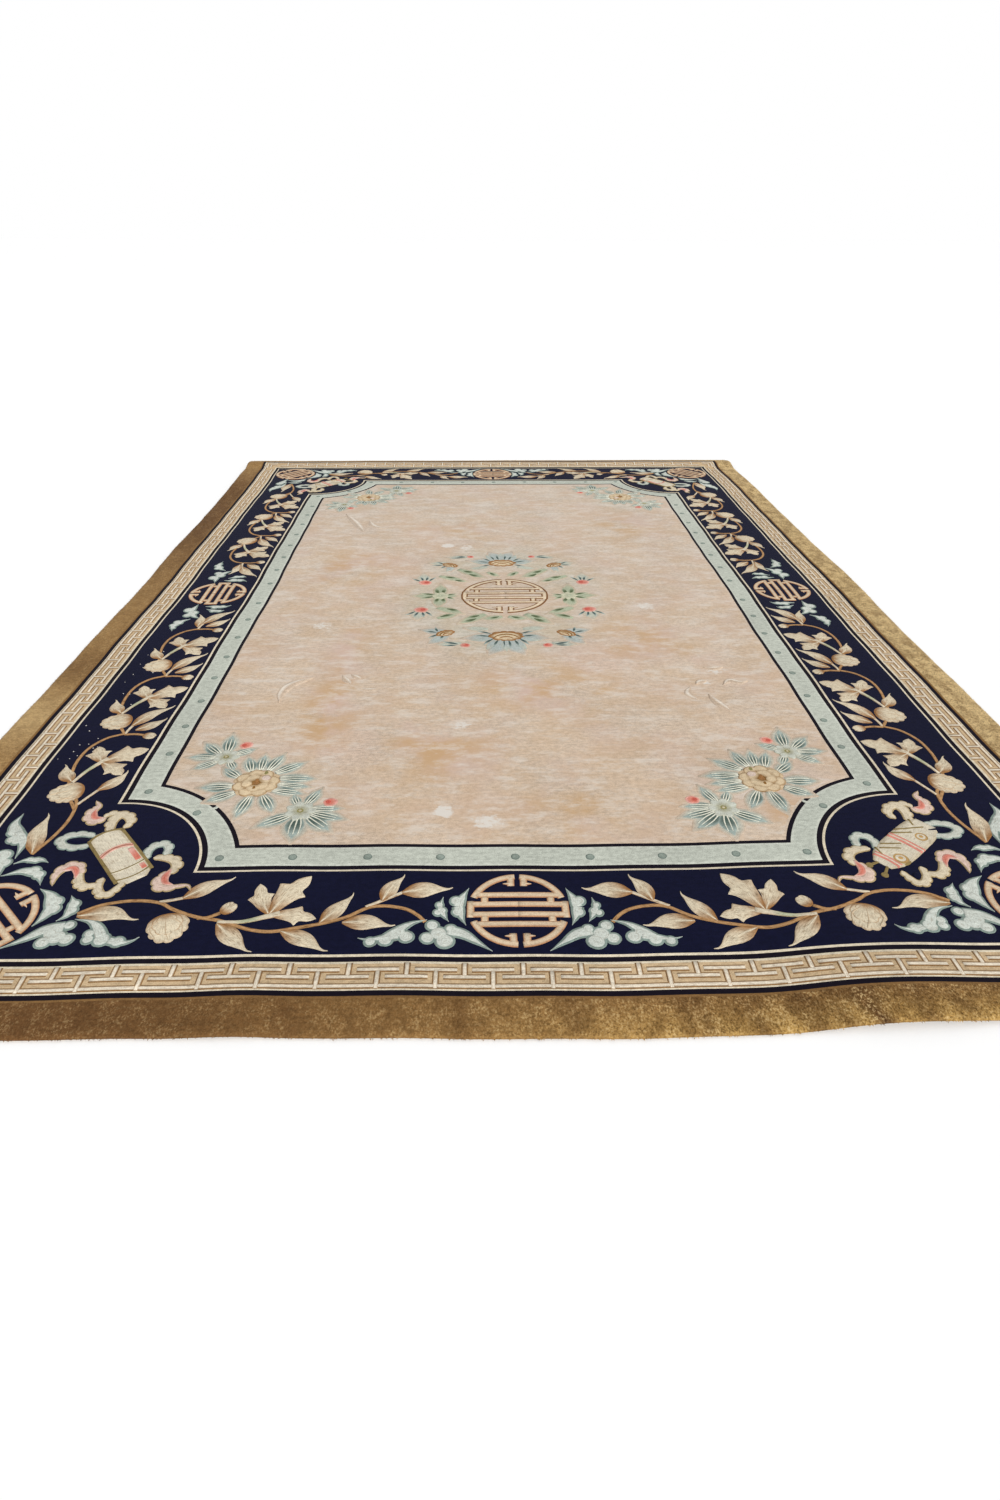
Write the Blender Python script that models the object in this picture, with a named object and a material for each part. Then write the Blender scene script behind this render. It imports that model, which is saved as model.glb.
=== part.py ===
"""Silk rug of nine by thirteen feet, one hand-knotted cloth lying on a floor.

The rug is one solid, a little uneven as it lies: its near end bows out, a ripple lifts
the near right, and the far end rises in a low ridge beside its last line. Its pile is
carved along the lines that part the borders, and its round medallions stand proud.
Units are metres, +Z is up, and the near end of the rug faces -Y.
"""
import math
from collections import namedtuple

import bmesh
import bpy
from mathutils import Vector
from mathutils.geometry import delaunay_2d_cdt

# Overall size of the cloth as it is knotted
HALF_WIDTH = 1.370
HALF_LENGTH = 1.985
PILE_HEIGHT = 0.0095
EDGE_HEIGHT = 0.0045
EDGE_ROUND = 0.010
CORNER_RADIUS = 0.014

# Carved lines between the borders, each measured in from the cloth's edge. An arc notches
# the corners of the inner two, its middle as far past the corner as the notch's shift
Line = namedtuple("Line", "name inset notch_radius notch_shift")
LINES = (
    Line("gold and fret", 0.095, 0.0, 0.0),
    Line("fret and navy", 0.176, 0.0, 0.0),
    Line("navy and mint", 0.437, 0.252, 0.0),
    Line("mint and field", 0.510, 0.363, 0.107),
)
CARVED_HALF_WIDTH = 0.009
CARVED_DEPTH = 0.0016

# Round medallions, one in each corner, at the middle of each side and in the field
MEDALLION_RADIUS = 0.104
SIDE_MEDALLION_INSET = 0.309
CORNER_MEDALLION_INSET = 0.296
CENTRE_MEDALLION_RADIUS = 0.160
CENTRE_MEDALLION_Y = -0.027
MEDALLION_RISE = 0.0013
MEDALLION_BEVEL = 0.006
MEDALLION_STEPS = 24

# How the cloth lies in plan: its near end bows out right of the middle, where the gold
# border narrows toward both corners, and its length sways from side to side
NEAR_BOW = 0.013
NEAR_BOW_X = 0.20
NEAR_BOW_REACH = 0.55
NEAR_NARROWING = 0.018
GOLD_WIDTH = LINES[0].inset
Sway = namedtuple("Sway", "y reach shift")
SWAYS = (
    Sway(-1.25, 0.55, -0.003),
    Sway(0.05, 0.65, 0.005),
    Sway(1.985, 0.60, -0.012),
)

# Where the cloth stands off the floor, as soft mounds round a middle
Mound = namedtuple("Mound", "x y reach_x reach_y height")
MOUNDS = (
    Mound(0.68, -1.93, 0.24, 0.38, 0.0145),
    Mound(0.99, -1.98, 0.26, 0.40, 0.0060),
    Mound(-0.53, -1.98, 0.12, 0.28, 0.0035),
    Mound(-1.36, 1.55, 0.17, 0.52, 0.0110),
    Mound(-1.42, 0.52, 0.16, 0.42, 0.0060),
    Mound(1.42, 0.18, 0.16, 0.48, 0.0060),
    Mound(1.42, -0.92, 0.14, 0.34, 0.0040),
)
RIDGE_INSET = 0.095
RIDGE_HEIGHT = 0.0145
RIDGE_OUTER_REACH = 0.095
RIDGE_INNER_REACH = 0.105

# Spacing of the mesh's points, and the share of it that loose ones keep from the lines
EDGE_STEP = 0.085
ARC_STEP = 0.040
TOP_STEP = 0.105
UNDER_STEP = 0.120
CLEARANCE = 0.45
FLAT_HALF_WIDTH = 0.80
FLAT_HALF_LENGTH = 1.35
MERGE_DISTANCE = 1e-6
INSIDE_ONLY = 1

SILK_COLOUR = (0.62, 0.47, 0.35, 1.0)
SILK_ROUGHNESS = 0.62


def soft_step(t):
    """Fall smoothly from 1 at the middle to 0 at a distance of 1 and beyond."""
    return math.cos(0.5 * math.pi * t) ** 2 if abs(t) < 1.0 else 0.0


def drift(x, y):
    """Return how far the lying cloth is from its squared-up outline."""
    toward_near = 0.5 - 0.5 * y / HALF_LENGTH
    bow = -NEAR_BOW * toward_near * soft_step((x - NEAR_BOW_X) / NEAR_BOW_REACH)
    into_gold = max(0.0, 1.0 - (HALF_LENGTH + y) / GOLD_WIDTH)
    narrowing = NEAR_NARROWING * into_gold * (x / HALF_WIDTH) ** 2
    sway = sum(each.shift * soft_step((y - each.y) / each.reach) for each in SWAYS)
    return Vector((sway, bow + narrowing))


def lift(x, y):
    """Return how high the underside of the cloth stands off the floor."""
    past_ridge = y - (HALF_LENGTH - RIDGE_INSET)
    reach = RIDGE_OUTER_REACH if past_ridge > 0.0 else RIDGE_INNER_REACH
    height = RIDGE_HEIGHT * soft_step(past_ridge / reach)
    for mound in MOUNDS:
        height += (mound.height * soft_step((x - mound.x) / mound.reach_x)
                   * soft_step((y - mound.y) / mound.reach_y))
    return height


def arc(middle, radius, first, last, steps):
    """Return the points of an arc, both ends included."""
    angles = [first + (last - first) * step / steps for step in range(steps + 1)]
    return [middle + radius * Vector((math.cos(a), math.sin(a))) for a in angles]


def notch(corner, radius, shift, offset):
    """Return the arc that cuts a corner off, moved outward by an offset."""
    reach = radius - offset
    beyond = offset - shift
    beside = math.sqrt(reach ** 2 - beyond ** 2)
    first = math.atan2(-beside, beyond)
    last = math.atan2(beyond, -beside)
    if last > 0.0:
        last -= math.tau
    steps = max(4, round(reach * (first - last) / ARC_STEP))
    return arc(corner + Vector((shift, shift)), reach, first, last, steps)


def closed_loop(quarter):
    """Mirror one corner to all four, and share out points along the straight runs."""
    signs = ((1, 1), (-1, 1), (-1, -1), (1, -1))
    corners = []
    for sign_x, sign_y in signs:
        points = [Vector((sign_x * p.x, sign_y * p.y)) for p in quarter]
        corners += points if sign_x == sign_y else reversed(points)
    loop = []
    for start, end in zip(corners, corners[1:] + corners[:1]):
        count = max(1, round((end - start).length / EDGE_STEP))
        loop += [start.lerp(end, i / count) for i in range(count)]
    return loop


def edge_loop(inset):
    """Return the rug's edge, or the loop a little inside it where the pile is full."""
    middle = Vector((HALF_WIDTH - CORNER_RADIUS, HALF_LENGTH - CORNER_RADIUS))
    return closed_loop(arc(middle, CORNER_RADIUS - inset, 0.0, 0.5 * math.pi, 3))


def line_loop(line, offset):
    """Return one carved line's loop, moved outward by an offset."""
    corner = Vector((HALF_WIDTH - line.inset, HALF_LENGTH - line.inset))
    if line.notch_radius == 0.0:
        return closed_loop([corner + Vector((offset, offset))])
    return closed_loop(notch(corner, line.notch_radius, line.notch_shift, offset))


def medallions():
    """Return the middle and radius of each round medallion."""
    side_x, side_y = HALF_WIDTH - SIDE_MEDALLION_INSET, HALF_LENGTH - SIDE_MEDALLION_INSET
    corner_x, corner_y = (HALF_WIDTH - CORNER_MEDALLION_INSET,
                          HALF_LENGTH - CORNER_MEDALLION_INSET)
    middles = [(side_x, 0.0), (-side_x, 0.0), (0.0, side_y), (0.0, -side_y)]
    middles += [(sx * corner_x, sy * corner_y) for sx in (1, -1) for sy in (1, -1)]
    rounds = [(Vector(middle), MEDALLION_RADIUS) for middle in middles]
    return rounds + [(Vector((0.0, CENTRE_MEDALLION_Y)), CENTRE_MEDALLION_RADIUS)]


def top_loops():
    """Return the loops of the pile's surface, each with its height over the underside."""
    loops = [(edge_loop(0.0), EDGE_HEIGHT), (edge_loop(EDGE_ROUND), PILE_HEIGHT)]
    for line in LINES:
        for side in (1, 0, -1):
            height = PILE_HEIGHT if side else PILE_HEIGHT - CARVED_DEPTH
            loops.append((line_loop(line, side * CARVED_HALF_WIDTH), height))
    for middle, radius in medallions():
        for grow, rise in ((MEDALLION_BEVEL, 0.0), (0.0, MEDALLION_RISE)):
            ring = arc(middle, radius + grow, 0.0, math.tau, MEDALLION_STEPS)[:-1]
            loops.append((ring, PILE_HEIGHT + rise))
    return loops


def loose_points(step, taken, wanted):
    """Return a lattice of points inside the rug that keeps clear of those taken."""
    points = []
    columns, rows = int(HALF_WIDTH / step), int(HALF_LENGTH / step)
    for column in range(-columns, columns + 1):
        for row in range(-rows, rows + 1):
            point = Vector((column * step, row * step))
            clear = all((point - other).length > CLEARANCE * step for other in taken)
            if clear and wanted(point):
                points.append(point)
    return points


def inside_edge(point):
    """Tell whether a point is well inside the rug's edge."""
    return (abs(point.x) < HALF_WIDTH - 2 * EDGE_ROUND
            and abs(point.y) < HALF_LENGTH - 2 * EDGE_ROUND)


def off_the_floor(point):
    """Tell whether a point lies in the rim, where the underside may leave the floor."""
    return inside_edge(point) and (abs(point.x) > FLAT_HALF_WIDTH
                                   or abs(point.y) > FLAT_HALF_LENGTH)


def add_surface(mesh, loops, points, base_height, facing_up):
    """Triangulate loops and loose points, and return the outline's vertices in order."""
    flat, heights, edges = [], [], []
    for loop, height in loops:
        first = len(flat)
        flat += loop
        heights += [height] * len(loop)
        edges += [(first + i, first + (i + 1) % len(loop)) for i in range(len(loop))]
    flat += points
    heights += [base_height] * len(points)
    outline = list(range(len(loops[0][0])))
    found, _, faces, sources, _, _ = delaunay_2d_cdt(
        flat, edges, [outline], INSIDE_ONLY, MERGE_DISTANCE)
    made, vertex_of = [], {}
    for point, source in zip(found, sources):
        height = heights[source[0]] + lift(*point)
        made.append(mesh.verts.new((*(point + drift(*point)), height)))
        vertex_of.update({index: made[-1] for index in source})
    for face in faces:
        corners = [made[i] for i in face]
        mesh.faces.new(corners if facing_up else reversed(corners))
    return [vertex_of[i] for i in outline]


def make_rug():
    """Build the cloth as one closed solid and return its mesh."""
    mesh = bmesh.new()
    outline = edge_loop(0.0)
    loops = top_loops()
    taken = [point for loop, _ in loops for point in loop]
    top = add_surface(mesh, loops, loose_points(TOP_STEP, taken, inside_edge),
                      PILE_HEIGHT, True)
    under = add_surface(mesh, [(outline, 0.0)],
                        loose_points(UNDER_STEP, outline, off_the_floor), 0.0, False)
    for i in range(len(outline)):
        after = (i + 1) % len(outline)
        mesh.faces.new((under[i], under[after], top[after], top[i]))
    centre_on_origin(mesh)
    data = bpy.data.meshes.new("rug")
    mesh.to_mesh(data)
    mesh.free()
    return data


def centre_on_origin(mesh):
    """Move the cloth so that the middle of its plan is at the origin."""
    for axis in (0, 1):
        places = [vertex.co[axis] for vertex in mesh.verts]
        shift = 0.5 * (max(places) + min(places))
        for vertex in mesh.verts:
            vertex.co[axis] -= shift


def silk():
    """Return the material of the pile."""
    material = bpy.data.materials.new("silk pile")
    material.use_nodes = True
    shader = material.node_tree.nodes["Principled BSDF"]
    shader.inputs["Base Color"].default_value = SILK_COLOUR
    shader.inputs["Roughness"].default_value = SILK_ROUGHNESS
    shader.inputs["Metallic"].default_value = 0.0
    return material


def main():
    """Clear the scene and build the rug."""
    for old in list(bpy.data.objects):
        bpy.data.objects.remove(old)
    rug = bpy.data.objects.new("rug", make_rug())
    rug.data.materials.append(silk())
    bpy.context.collection.objects.link(rug)


main()
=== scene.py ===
"""Looks of the silk rug: its dyed pile, carved borders and raised flowers.

The rug is drawn in a flat plan, in metres, with its middle at the origin and its near
end toward -Y. Every point is then laid on the cloth's real form, which drift() and
lift() repeat from the model's own sizes.
"""
import math
from collections import namedtuple

import bpy
import numpy as np
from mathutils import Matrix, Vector
from mathutils.geometry import delaunay_2d_cdt


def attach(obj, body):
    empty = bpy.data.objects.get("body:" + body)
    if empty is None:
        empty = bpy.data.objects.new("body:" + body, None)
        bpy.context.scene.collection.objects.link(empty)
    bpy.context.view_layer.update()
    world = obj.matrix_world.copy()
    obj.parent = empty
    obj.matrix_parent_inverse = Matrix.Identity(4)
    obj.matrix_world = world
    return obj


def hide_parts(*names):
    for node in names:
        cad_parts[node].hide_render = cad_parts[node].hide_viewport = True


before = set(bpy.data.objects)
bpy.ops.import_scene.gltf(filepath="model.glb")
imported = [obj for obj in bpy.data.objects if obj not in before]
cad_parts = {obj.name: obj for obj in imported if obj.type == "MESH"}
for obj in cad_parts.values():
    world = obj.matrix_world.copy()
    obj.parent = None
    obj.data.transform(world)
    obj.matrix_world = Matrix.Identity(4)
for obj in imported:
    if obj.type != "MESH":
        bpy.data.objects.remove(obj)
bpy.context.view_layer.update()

RANDOM = np.random.default_rng(1913)

# Overall size of the cloth as it is knotted
HALF_WIDTH = 1.370
HALF_LENGTH = 1.985
PILE_HEIGHT = 0.0095
EDGE_HEIGHT = 0.0045
EDGE_ROUND = 0.010
CORNER_RADIUS = 0.014

# Carved lines between the borders, each measured in from the cloth's edge. An arc notches
# the corners of the inner two, its middle as far past the corner as the notch's shift
Line = namedtuple("Line", "inset notch_radius notch_shift")
GOLD_LINE = Line(0.095, 0.0, 0.0)
FRET_LINE = Line(0.176, 0.0, 0.0)
MINT_LINE = Line(0.437, 0.252, 0.0)
FIELD_LINE = Line(0.510, 0.363, 0.107)
CARVED_DEPTH = 0.0016

# Round medallions
MEDALLION_RADIUS = 0.104
SIDE_MEDALLION_INSET = 0.309
CORNER_MEDALLION_INSET = 0.296
CENTRE_MEDALLION_RADIUS = 0.160
CENTRE_MEDALLION_Y = -0.034

# How the cloth lies
NEAR_BOW = 0.013
NEAR_BOW_X = 0.20
NEAR_BOW_REACH = 0.55
NEAR_NARROWING = 0.018
GOLD_WIDTH = GOLD_LINE.inset
Sway = namedtuple("Sway", "y reach shift")
SWAYS = (
    Sway(-1.25, 0.55, -0.003),
    Sway(0.05, 0.65, 0.005),
    Sway(1.985, 0.60, -0.012),
)
Mound = namedtuple("Mound", "x y reach_x reach_y height")
MOUNDS = (
    Mound(0.68, -1.93, 0.24, 0.38, 0.0145),
    Mound(0.99, -1.98, 0.26, 0.40, 0.0060),
    Mound(-0.53, -1.98, 0.12, 0.28, 0.0035),
    Mound(-1.36, 1.55, 0.17, 0.52, 0.0110),
    Mound(-1.42, 0.52, 0.16, 0.42, 0.0060),
    Mound(1.42, 0.18, 0.16, 0.48, 0.0060),
    Mound(1.42, -0.92, 0.14, 0.34, 0.0040),
)
RIDGE_INSET = 0.095
RIDGE_HEIGHT = 0.0145
RIDGE_OUTER_REACH = 0.095
RIDGE_INNER_REACH = 0.105

# Small creases left in the field, each along a curved path
Crease = namedtuple("Crease", "path half_width height")
CREASES = (
    Crease(((-0.660, -0.830), (-0.664, -0.785), (-0.655, -0.742), (-0.632, -0.712),
            (-0.585, -0.682)), 0.0110, 0.0048),
    Crease(((-0.500, -0.665), (-0.486, -0.690), (-0.466, -0.722)), 0.0075, 0.0030),
    Crease(((-0.474, -0.660), (-0.460, -0.672), (-0.440, -0.690)), 0.0070, 0.0028),
    Crease(((-0.435, -0.752), (-0.405, -0.756), (-0.380, -0.752)), 0.0060, 0.0020),
    Crease(((-0.705, 0.960), (-0.655, 0.850), (-0.595, 0.700)), 0.0120, 0.0040),
    Crease(((-0.585, 0.855), (-0.560, 0.780), (-0.500, 0.740)), 0.0110, 0.0035),
    Crease(((0.622, -0.628), (0.650, -0.636), (0.682, -0.630)), 0.0085, 0.0034),
    Crease(((0.574, -0.735), (0.590, -0.720), (0.610, -0.717)), 0.0085, 0.0034),
    Crease(((0.655, -0.745), (0.680, -0.718), (0.705, -0.730), (0.735, -0.722)), 0.0090, 0.0036),
    Crease(((0.598, -0.800), (0.612, -0.845), (0.638, -0.900)), 0.0095, 0.0034),
    Crease(((0.560, -0.830), (0.540, -0.790), (0.552, -0.750)), 0.0080, 0.0026),
)


def dye(code):
    """Return the linear colour of a web colour code."""
    shades = [int(code[i:i + 2], 16) / 255 for i in (1, 3, 5)]
    return np.array([s / 12.92 if s <= 0.04045 else ((s + 0.055) / 1.055) ** 2.4 for s in shades])


NAVY = dye("#0f1129")
BLACK = dye("#15101a")
CREAM = dye("#d6cab2")
TAN = dye("#c2a986")
FRET_CREAM = dye("#dfd4c0")
TAN_DARK = dye("#80603a")
FRET_BROWN = dye("#85633c")
BROWN = dye("#7f5836")
LEAF_PALE = dye("#d6c9af")
LEAF_TAN = dye("#9a6f44")
STEM = dye("#b58d62")
PEACH_EDGE = dye("#b3835e")
PEACH = dye("#d4bfa2")
MINT = dye("#b9bdb1")
MINT_LIGHT = dye("#c3c6ba")
MINT_DOT = dye("#8f9a90")
MINT_DOT_RIM = dye("#6d7972")
CLOUD = dye("#cacfc6")
CLOUD_RIM = dye("#83928a")
FIELD_NEAR = dye("#c8b49f")
# The field's far colour holds painted sheen
FIELD_FAR_SHEEN = dye("#c9baaa")
FIELD_PINK = dye("#cbb0a2")
FIELD_SAND = dye("#c29f76")
FIELD_PALE = dye("#dcd3c8")
FIELD_CREAM = dye("#dcc9ad")
HALO = dye("#b8bcae")
GOLD = dye("#8f6c40")
# Gold under painted light
GOLD_LIT = dye("#c9ae7e")
# Painted highlight on the gold border
GOLD_SHEEN = dye("#d2ab62")
GOLD_DEEP = dye("#5f4026")
CORAL = dye("#cf7866")
CORAL_PALE = dye("#d9a699")
SLATE_DARK = dye("#4f6059")
SLATE_PALE = dye("#a3b0a9")
RAY_DARK = dye("#435452")
MIST = dye("#abb4b0")
VEIN = dye("#dbd9c8")
OLIVE = dye("#8c8557")
GREEN_DEEP = dye("#566445")
GREEN_PALE = dye("#abb399")
PETAL = dye("#d4bf9e")
PETAL_PINK = dye("#d8c4b6")
PEONY_BROWN = dye("#86602f")
WREATH_CREAM = dye("#c6c4aa")
CORAL_DEEP = dye("#c25d51")
CREASE_SHADE = dye("#a88f76")
CREASE_LIT = dye("#e8dfd2")
UNDER = dye("#9c8a72")
BARE = dye("#dcd7cf")
# Light specks of the gold border, painted glints, and its dark specks
FLECK_GLINT = dye("#d9bc87")
FLECK_DARK = dye("#43301a")


def mix(first, second, amount):
    """Blend two colours by an array of amounts."""
    amount = np.clip(np.asarray(amount, float), 0.0, 1.0)[..., None]
    return first * (1.0 - amount) + second * amount


def soft_step(t):
    """Fall smoothly from 1 at the middle to 0 at a distance of 1 and beyond."""
    return np.cos(0.5 * np.pi * np.clip(t, -1.0, 1.0)) ** 2


def bell(t, middle, reach):
    """Return a bell curve round a middle."""
    return np.exp(-((t - middle) / reach) ** 2)


def ramp(t, start, end):
    """Rise smoothly from 0 at the start to 1 at the end."""
    s = np.clip((np.asarray(t, float) - start) / (end - start), 0.0, 1.0)
    return s * s * (3.0 - 2.0 * s)


def drift(plan):
    """Return how far the lying cloth is from its squared-up outline."""
    x, y = plan[..., 0], plan[..., 1]
    toward_near = 0.5 - 0.5 * y / HALF_LENGTH
    bow = -NEAR_BOW * toward_near * soft_step((x - NEAR_BOW_X) / NEAR_BOW_REACH)
    into_gold = np.maximum(0.0, 1.0 - (HALF_LENGTH + y) / GOLD_WIDTH)
    narrowing = NEAR_NARROWING * into_gold * (x / HALF_WIDTH) ** 2
    sway = sum(each.shift * soft_step((y - each.y) / each.reach) for each in SWAYS)
    return np.stack([sway, bow + narrowing], -1)


def lift(plan):
    """Return how high the underside of the cloth stands off the floor."""
    x, y = plan[..., 0], plan[..., 1]
    past_ridge = y - (HALF_LENGTH - RIDGE_INSET)
    reach = np.where(past_ridge > 0.0, RIDGE_OUTER_REACH, RIDGE_INNER_REACH)
    height = RIDGE_HEIGHT * soft_step(past_ridge / reach)
    for mound in MOUNDS:
        height = height + (mound.height * soft_step((x - mound.x) / mound.reach_x)
                           * soft_step((y - mound.y) / mound.reach_y))
    return height


def waver(plan):
    """Return the small unevenness of hand-knotted lines."""
    x, y = plan[..., 0], plan[..., 1]
    aside = 0.0012 * np.sin(9.1 * y + 1.3) + 0.0007 * np.sin(27.0 * y + 2.0 * x)
    along = 0.0014 * np.sin(8.3 * x + 0.4) + 0.0008 * np.sin(24.0 * x + 3.0 * y)
    return np.stack([aside, along], -1)


def outline_middle():
    """Return the middle of the lying outline, which the model puts at the origin."""
    share = np.linspace(-1.0, 1.0, 801)
    ends = [np.stack([HALF_WIDTH * share, side * HALF_LENGTH + 0.0 * share], -1) for side in (-1, 1)]
    sides = [np.stack([side * HALF_WIDTH + 0.0 * share, HALF_LENGTH * share], -1) for side in (-1, 1)]
    places = np.concatenate([each + drift(each) for each in ends + sides])
    return 0.5 * (places.max(0) + places.min(0))


MIDDLE = outline_middle()


def drape(plan, rise):
    """Lay points of the plan on the cloth, each at a height over its underside."""
    flat = plan + drift(plan) + waver(plan) - MIDDLE
    return np.concatenate([flat, (lift(plan) + rise)[..., None]], -1)


def smooth_path(points, steps):
    """Return points spread evenly along a smooth curve through a few points."""
    knots = np.asarray(points, float)
    if len(knots) > 2:
        padded = np.vstack([2 * knots[0] - knots[1], knots, 2 * knots[-1] - knots[-2]])
        t = np.linspace(0.0, 1.0, 12, endpoint=False)[:, None]
        spans = [
            0.5 * (2 * b + (c - a) * t + (2 * a - 5 * b + 4 * c - d) * t ** 2
                   + (3 * b - a - 3 * c + d) * t ** 3)
            for a, b, c, d in zip(padded, padded[1:], padded[2:], padded[3:])
        ]
        knots = np.vstack(spans + [knots[-1:]])
    lengths = np.concatenate([[0.0], np.cumsum(np.hypot(*np.diff(knots, axis=0).T))])
    at = np.linspace(0.0, lengths[-1], steps + 1)
    return np.stack([np.interp(at, lengths, knots[:, k]) for k in (0, 1)], 1)


class Spot:
    """A place in the plan, with the turn, size and mirroring of what is drawn there."""

    def __init__(self, origin=(0.0, 0.0), axes=((1.0, 0.0), (0.0, 1.0))):
        self.origin = np.asarray(origin, float)
        self.axes = np.asarray(axes, float)

    def at(self, x, y, turn=0.0, size=1.0, flip=1.0):
        """Return a spot inside this one; the turn is in degrees."""
        angle = math.radians(turn)
        own = size * np.array([[math.cos(angle), math.sin(angle)],
                               [-flip * math.sin(angle), flip * math.cos(angle)]])
        return Spot(self.origin + np.array([x, y]) @ self.axes, own @ self.axes)

    def place(self, points):
        """Return points of this spot in the plan of the rug."""
        return self.origin + np.asarray(points, float) @ self.axes


WHOLE = Spot()
QUARTERS = [Spot((0, 0), ((sx, 0), (0, sy))) for sx, sy in ((1, 1), (-1, 1), (1, -1), (-1, -1))]

# Cross-section of a raised strip of pile, and the rings of a raised round
SECTION = np.array([-1.0, -0.88, -0.66, -0.33, 0.0, 0.33, 0.66, 0.88, 1.0])
RINGS = np.array([1.0, 0.93, 0.82, 0.62, 0.38, 0.16])
RIM_DEPTH = -0.0007
FIELD_RISE = 0.0007
PLATEAU = 0.0014
CROWN = 0.35
END_ROUND = 0.0008

# How far the dye of one motif may differ from the next's, as a share
VARY = 0.045


class Nap:
    """Raised pile that shares one mesh, gathered piece by piece.

    Each point has a grain: its place across and along the strokes of the pile there, in
    metres, and how strongly they show.
    """

    def __init__(self):
        self.plans, self.rises, self.dyes, self.grains, self.quads, self.tris = [], [], [], [], [], []
        self.count = 0

    def add(self, plan, rise, colour, grain, around=False):
        """Add a grid of points, with its columns closed up around a middle if asked."""
        rows, columns = rise.shape
        index = self.count + np.arange(rows * columns).reshape(rows, columns)
        after = np.roll(index, -1, 1) if around else index[:, 1:]
        before = index if around else index[:, :-1]
        quads = np.stack([before[:-1], after[:-1], after[1:], before[1:]], -1).reshape(-1, 4)
        flat = plan.reshape(-1, 2)
        corners = flat[quads - self.count]
        diagonals = corners[:, 2] - corners[:, 0], corners[:, 3] - corners[:, 1]
        area = (diagonals[0][:, 0] * diagonals[1][:, 1] - diagonals[0][:, 1] * diagonals[1][:, 0]).sum()
        self.quads.append(quads if area > 0.0 else quads[:, ::-1])
        self.plans.append(flat)
        self.rises.append(rise.reshape(-1))
        self.dyes.append(np.broadcast_to(colour, (rows, columns, 3)).reshape(-1, 3))
        self.grains.append(np.broadcast_to(grain, (rows, columns, 3)).reshape(-1, 3))
        self.count += rows * columns
        if around:
            self.plans.append(flat[-columns:].mean(0)[None])
            self.rises.append(rise[-1].mean()[None])
            self.dyes.append(self.dyes[-1][-columns:].mean(0)[None])
            self.grains.append(self.grains[-1][-columns:].mean(0)[None])
            tris = np.stack([before[-1], after[-1], np.full(columns, self.count)], -1)
            self.tris.append(tris if area > 0.0 else tris[:, ::-1])
            self.count += 1

    def finish(self, name, material):
        """Make the object."""
        plan = np.concatenate(self.plans)
        places = drape(plan, PILE_HEIGHT + np.concatenate(self.rises))
        quads = np.concatenate(self.quads)
        tris = np.concatenate(self.tris) if self.tris else np.zeros((0, 3), int)
        return make_object(name, places, quads, tris, "POINT", material,
                           dye=np.concatenate(self.dyes), grain=np.concatenate(self.grains))


def make_object(name, places, quads, tris, domain, material, **layers):
    """Make a smooth mesh object from arrays, with its layers of values, and link it."""
    mesh = bpy.data.meshes.new(name)
    mesh.vertices.add(len(places))
    mesh.vertices.foreach_set("co", places.ravel())
    corners = np.concatenate([quads.ravel(), tris.ravel()])
    mesh.loops.add(len(corners))
    mesh.loops.foreach_set("vertex_index", corners)
    starts = np.concatenate([4 * np.arange(len(quads)), 4 * len(quads) + 3 * np.arange(len(tris))])
    mesh.polygons.add(len(starts))
    mesh.polygons.foreach_set("loop_start", starts)
    mesh.update(calc_edges=True)
    for label, values in layers.items():
        layer = mesh.color_attributes.new(name=label, type="FLOAT_COLOR", domain=domain)
        rgba = np.concatenate([values, np.ones((len(values), 1))], 1)
        layer.data.foreach_set("color", rgba.ravel())
    mesh.shade_smooth()
    mesh.materials.append(material)
    piece = bpy.data.objects.new(name, mesh)
    bpy.context.collection.objects.link(piece)
    return piece


def strip(nap, spot, points, widths, colour, rise=PLATEAU, steps=16, crown=CROWN, strokes=0.5, vary=VARY):
    """Raise a strip of pile along a smooth path.

    The widths are half-widths spread evenly from its start to its end, or two rows of
    them, for its right and its left. The colour is one dye or a function of the place
    across, from -1 to 1, and along, from 0 to 1.
    """
    path = smooth_path(points, steps)
    along = np.linspace(0.0, 1.0, steps + 1)
    tangent = np.gradient(path, axis=0)
    tangent /= np.hypot(*tangent.T)[:, None]
    path = np.vstack([path[0] - END_ROUND * tangent[0], path, path[-1] + END_ROUND * tangent[-1]])
    along = np.concatenate([[0.0], along, [1.0]])
    tangent = np.vstack([tangent[:1], tangent, tangent[-1:]])
    sides = [np.interp(along, np.linspace(0.0, 1.0, len(side)), side) for side in np.atleast_2d(widths)]
    half = np.where(SECTION[None, :] > 0.0, sides[-1][:, None], sides[0][:, None])
    normal = np.stack([-tangent[:, 1], tangent[:, 0]], 1)
    plan = path[:, None] + normal[:, None] * (half * SECTION)[..., None]
    height = np.where(np.abs(SECTION) >= 1.0, RIM_DEPTH, rise * (1.0 - crown * SECTION ** 2))
    height = np.broadcast_to(height, plan.shape[:2]).copy()
    height[0] = height[-1] = RIM_DEPTH
    shade = colour(SECTION[None, :], along[:, None]) if callable(colour) else colour
    length = np.hypot(*np.diff(path, axis=0).T).sum()
    across = max(sides[0].max(), sides[-1].max()) * SECTION[None, :] + RANDOM.uniform(0.0, 9.0)
    grain = np.stack(np.broadcast_arrays(across, length * along[:, None], strokes), -1)
    nap.add(spot.place(plan), height, shade * RANDOM.uniform(1.0 - vary, 1.0 + vary), grain)


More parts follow.
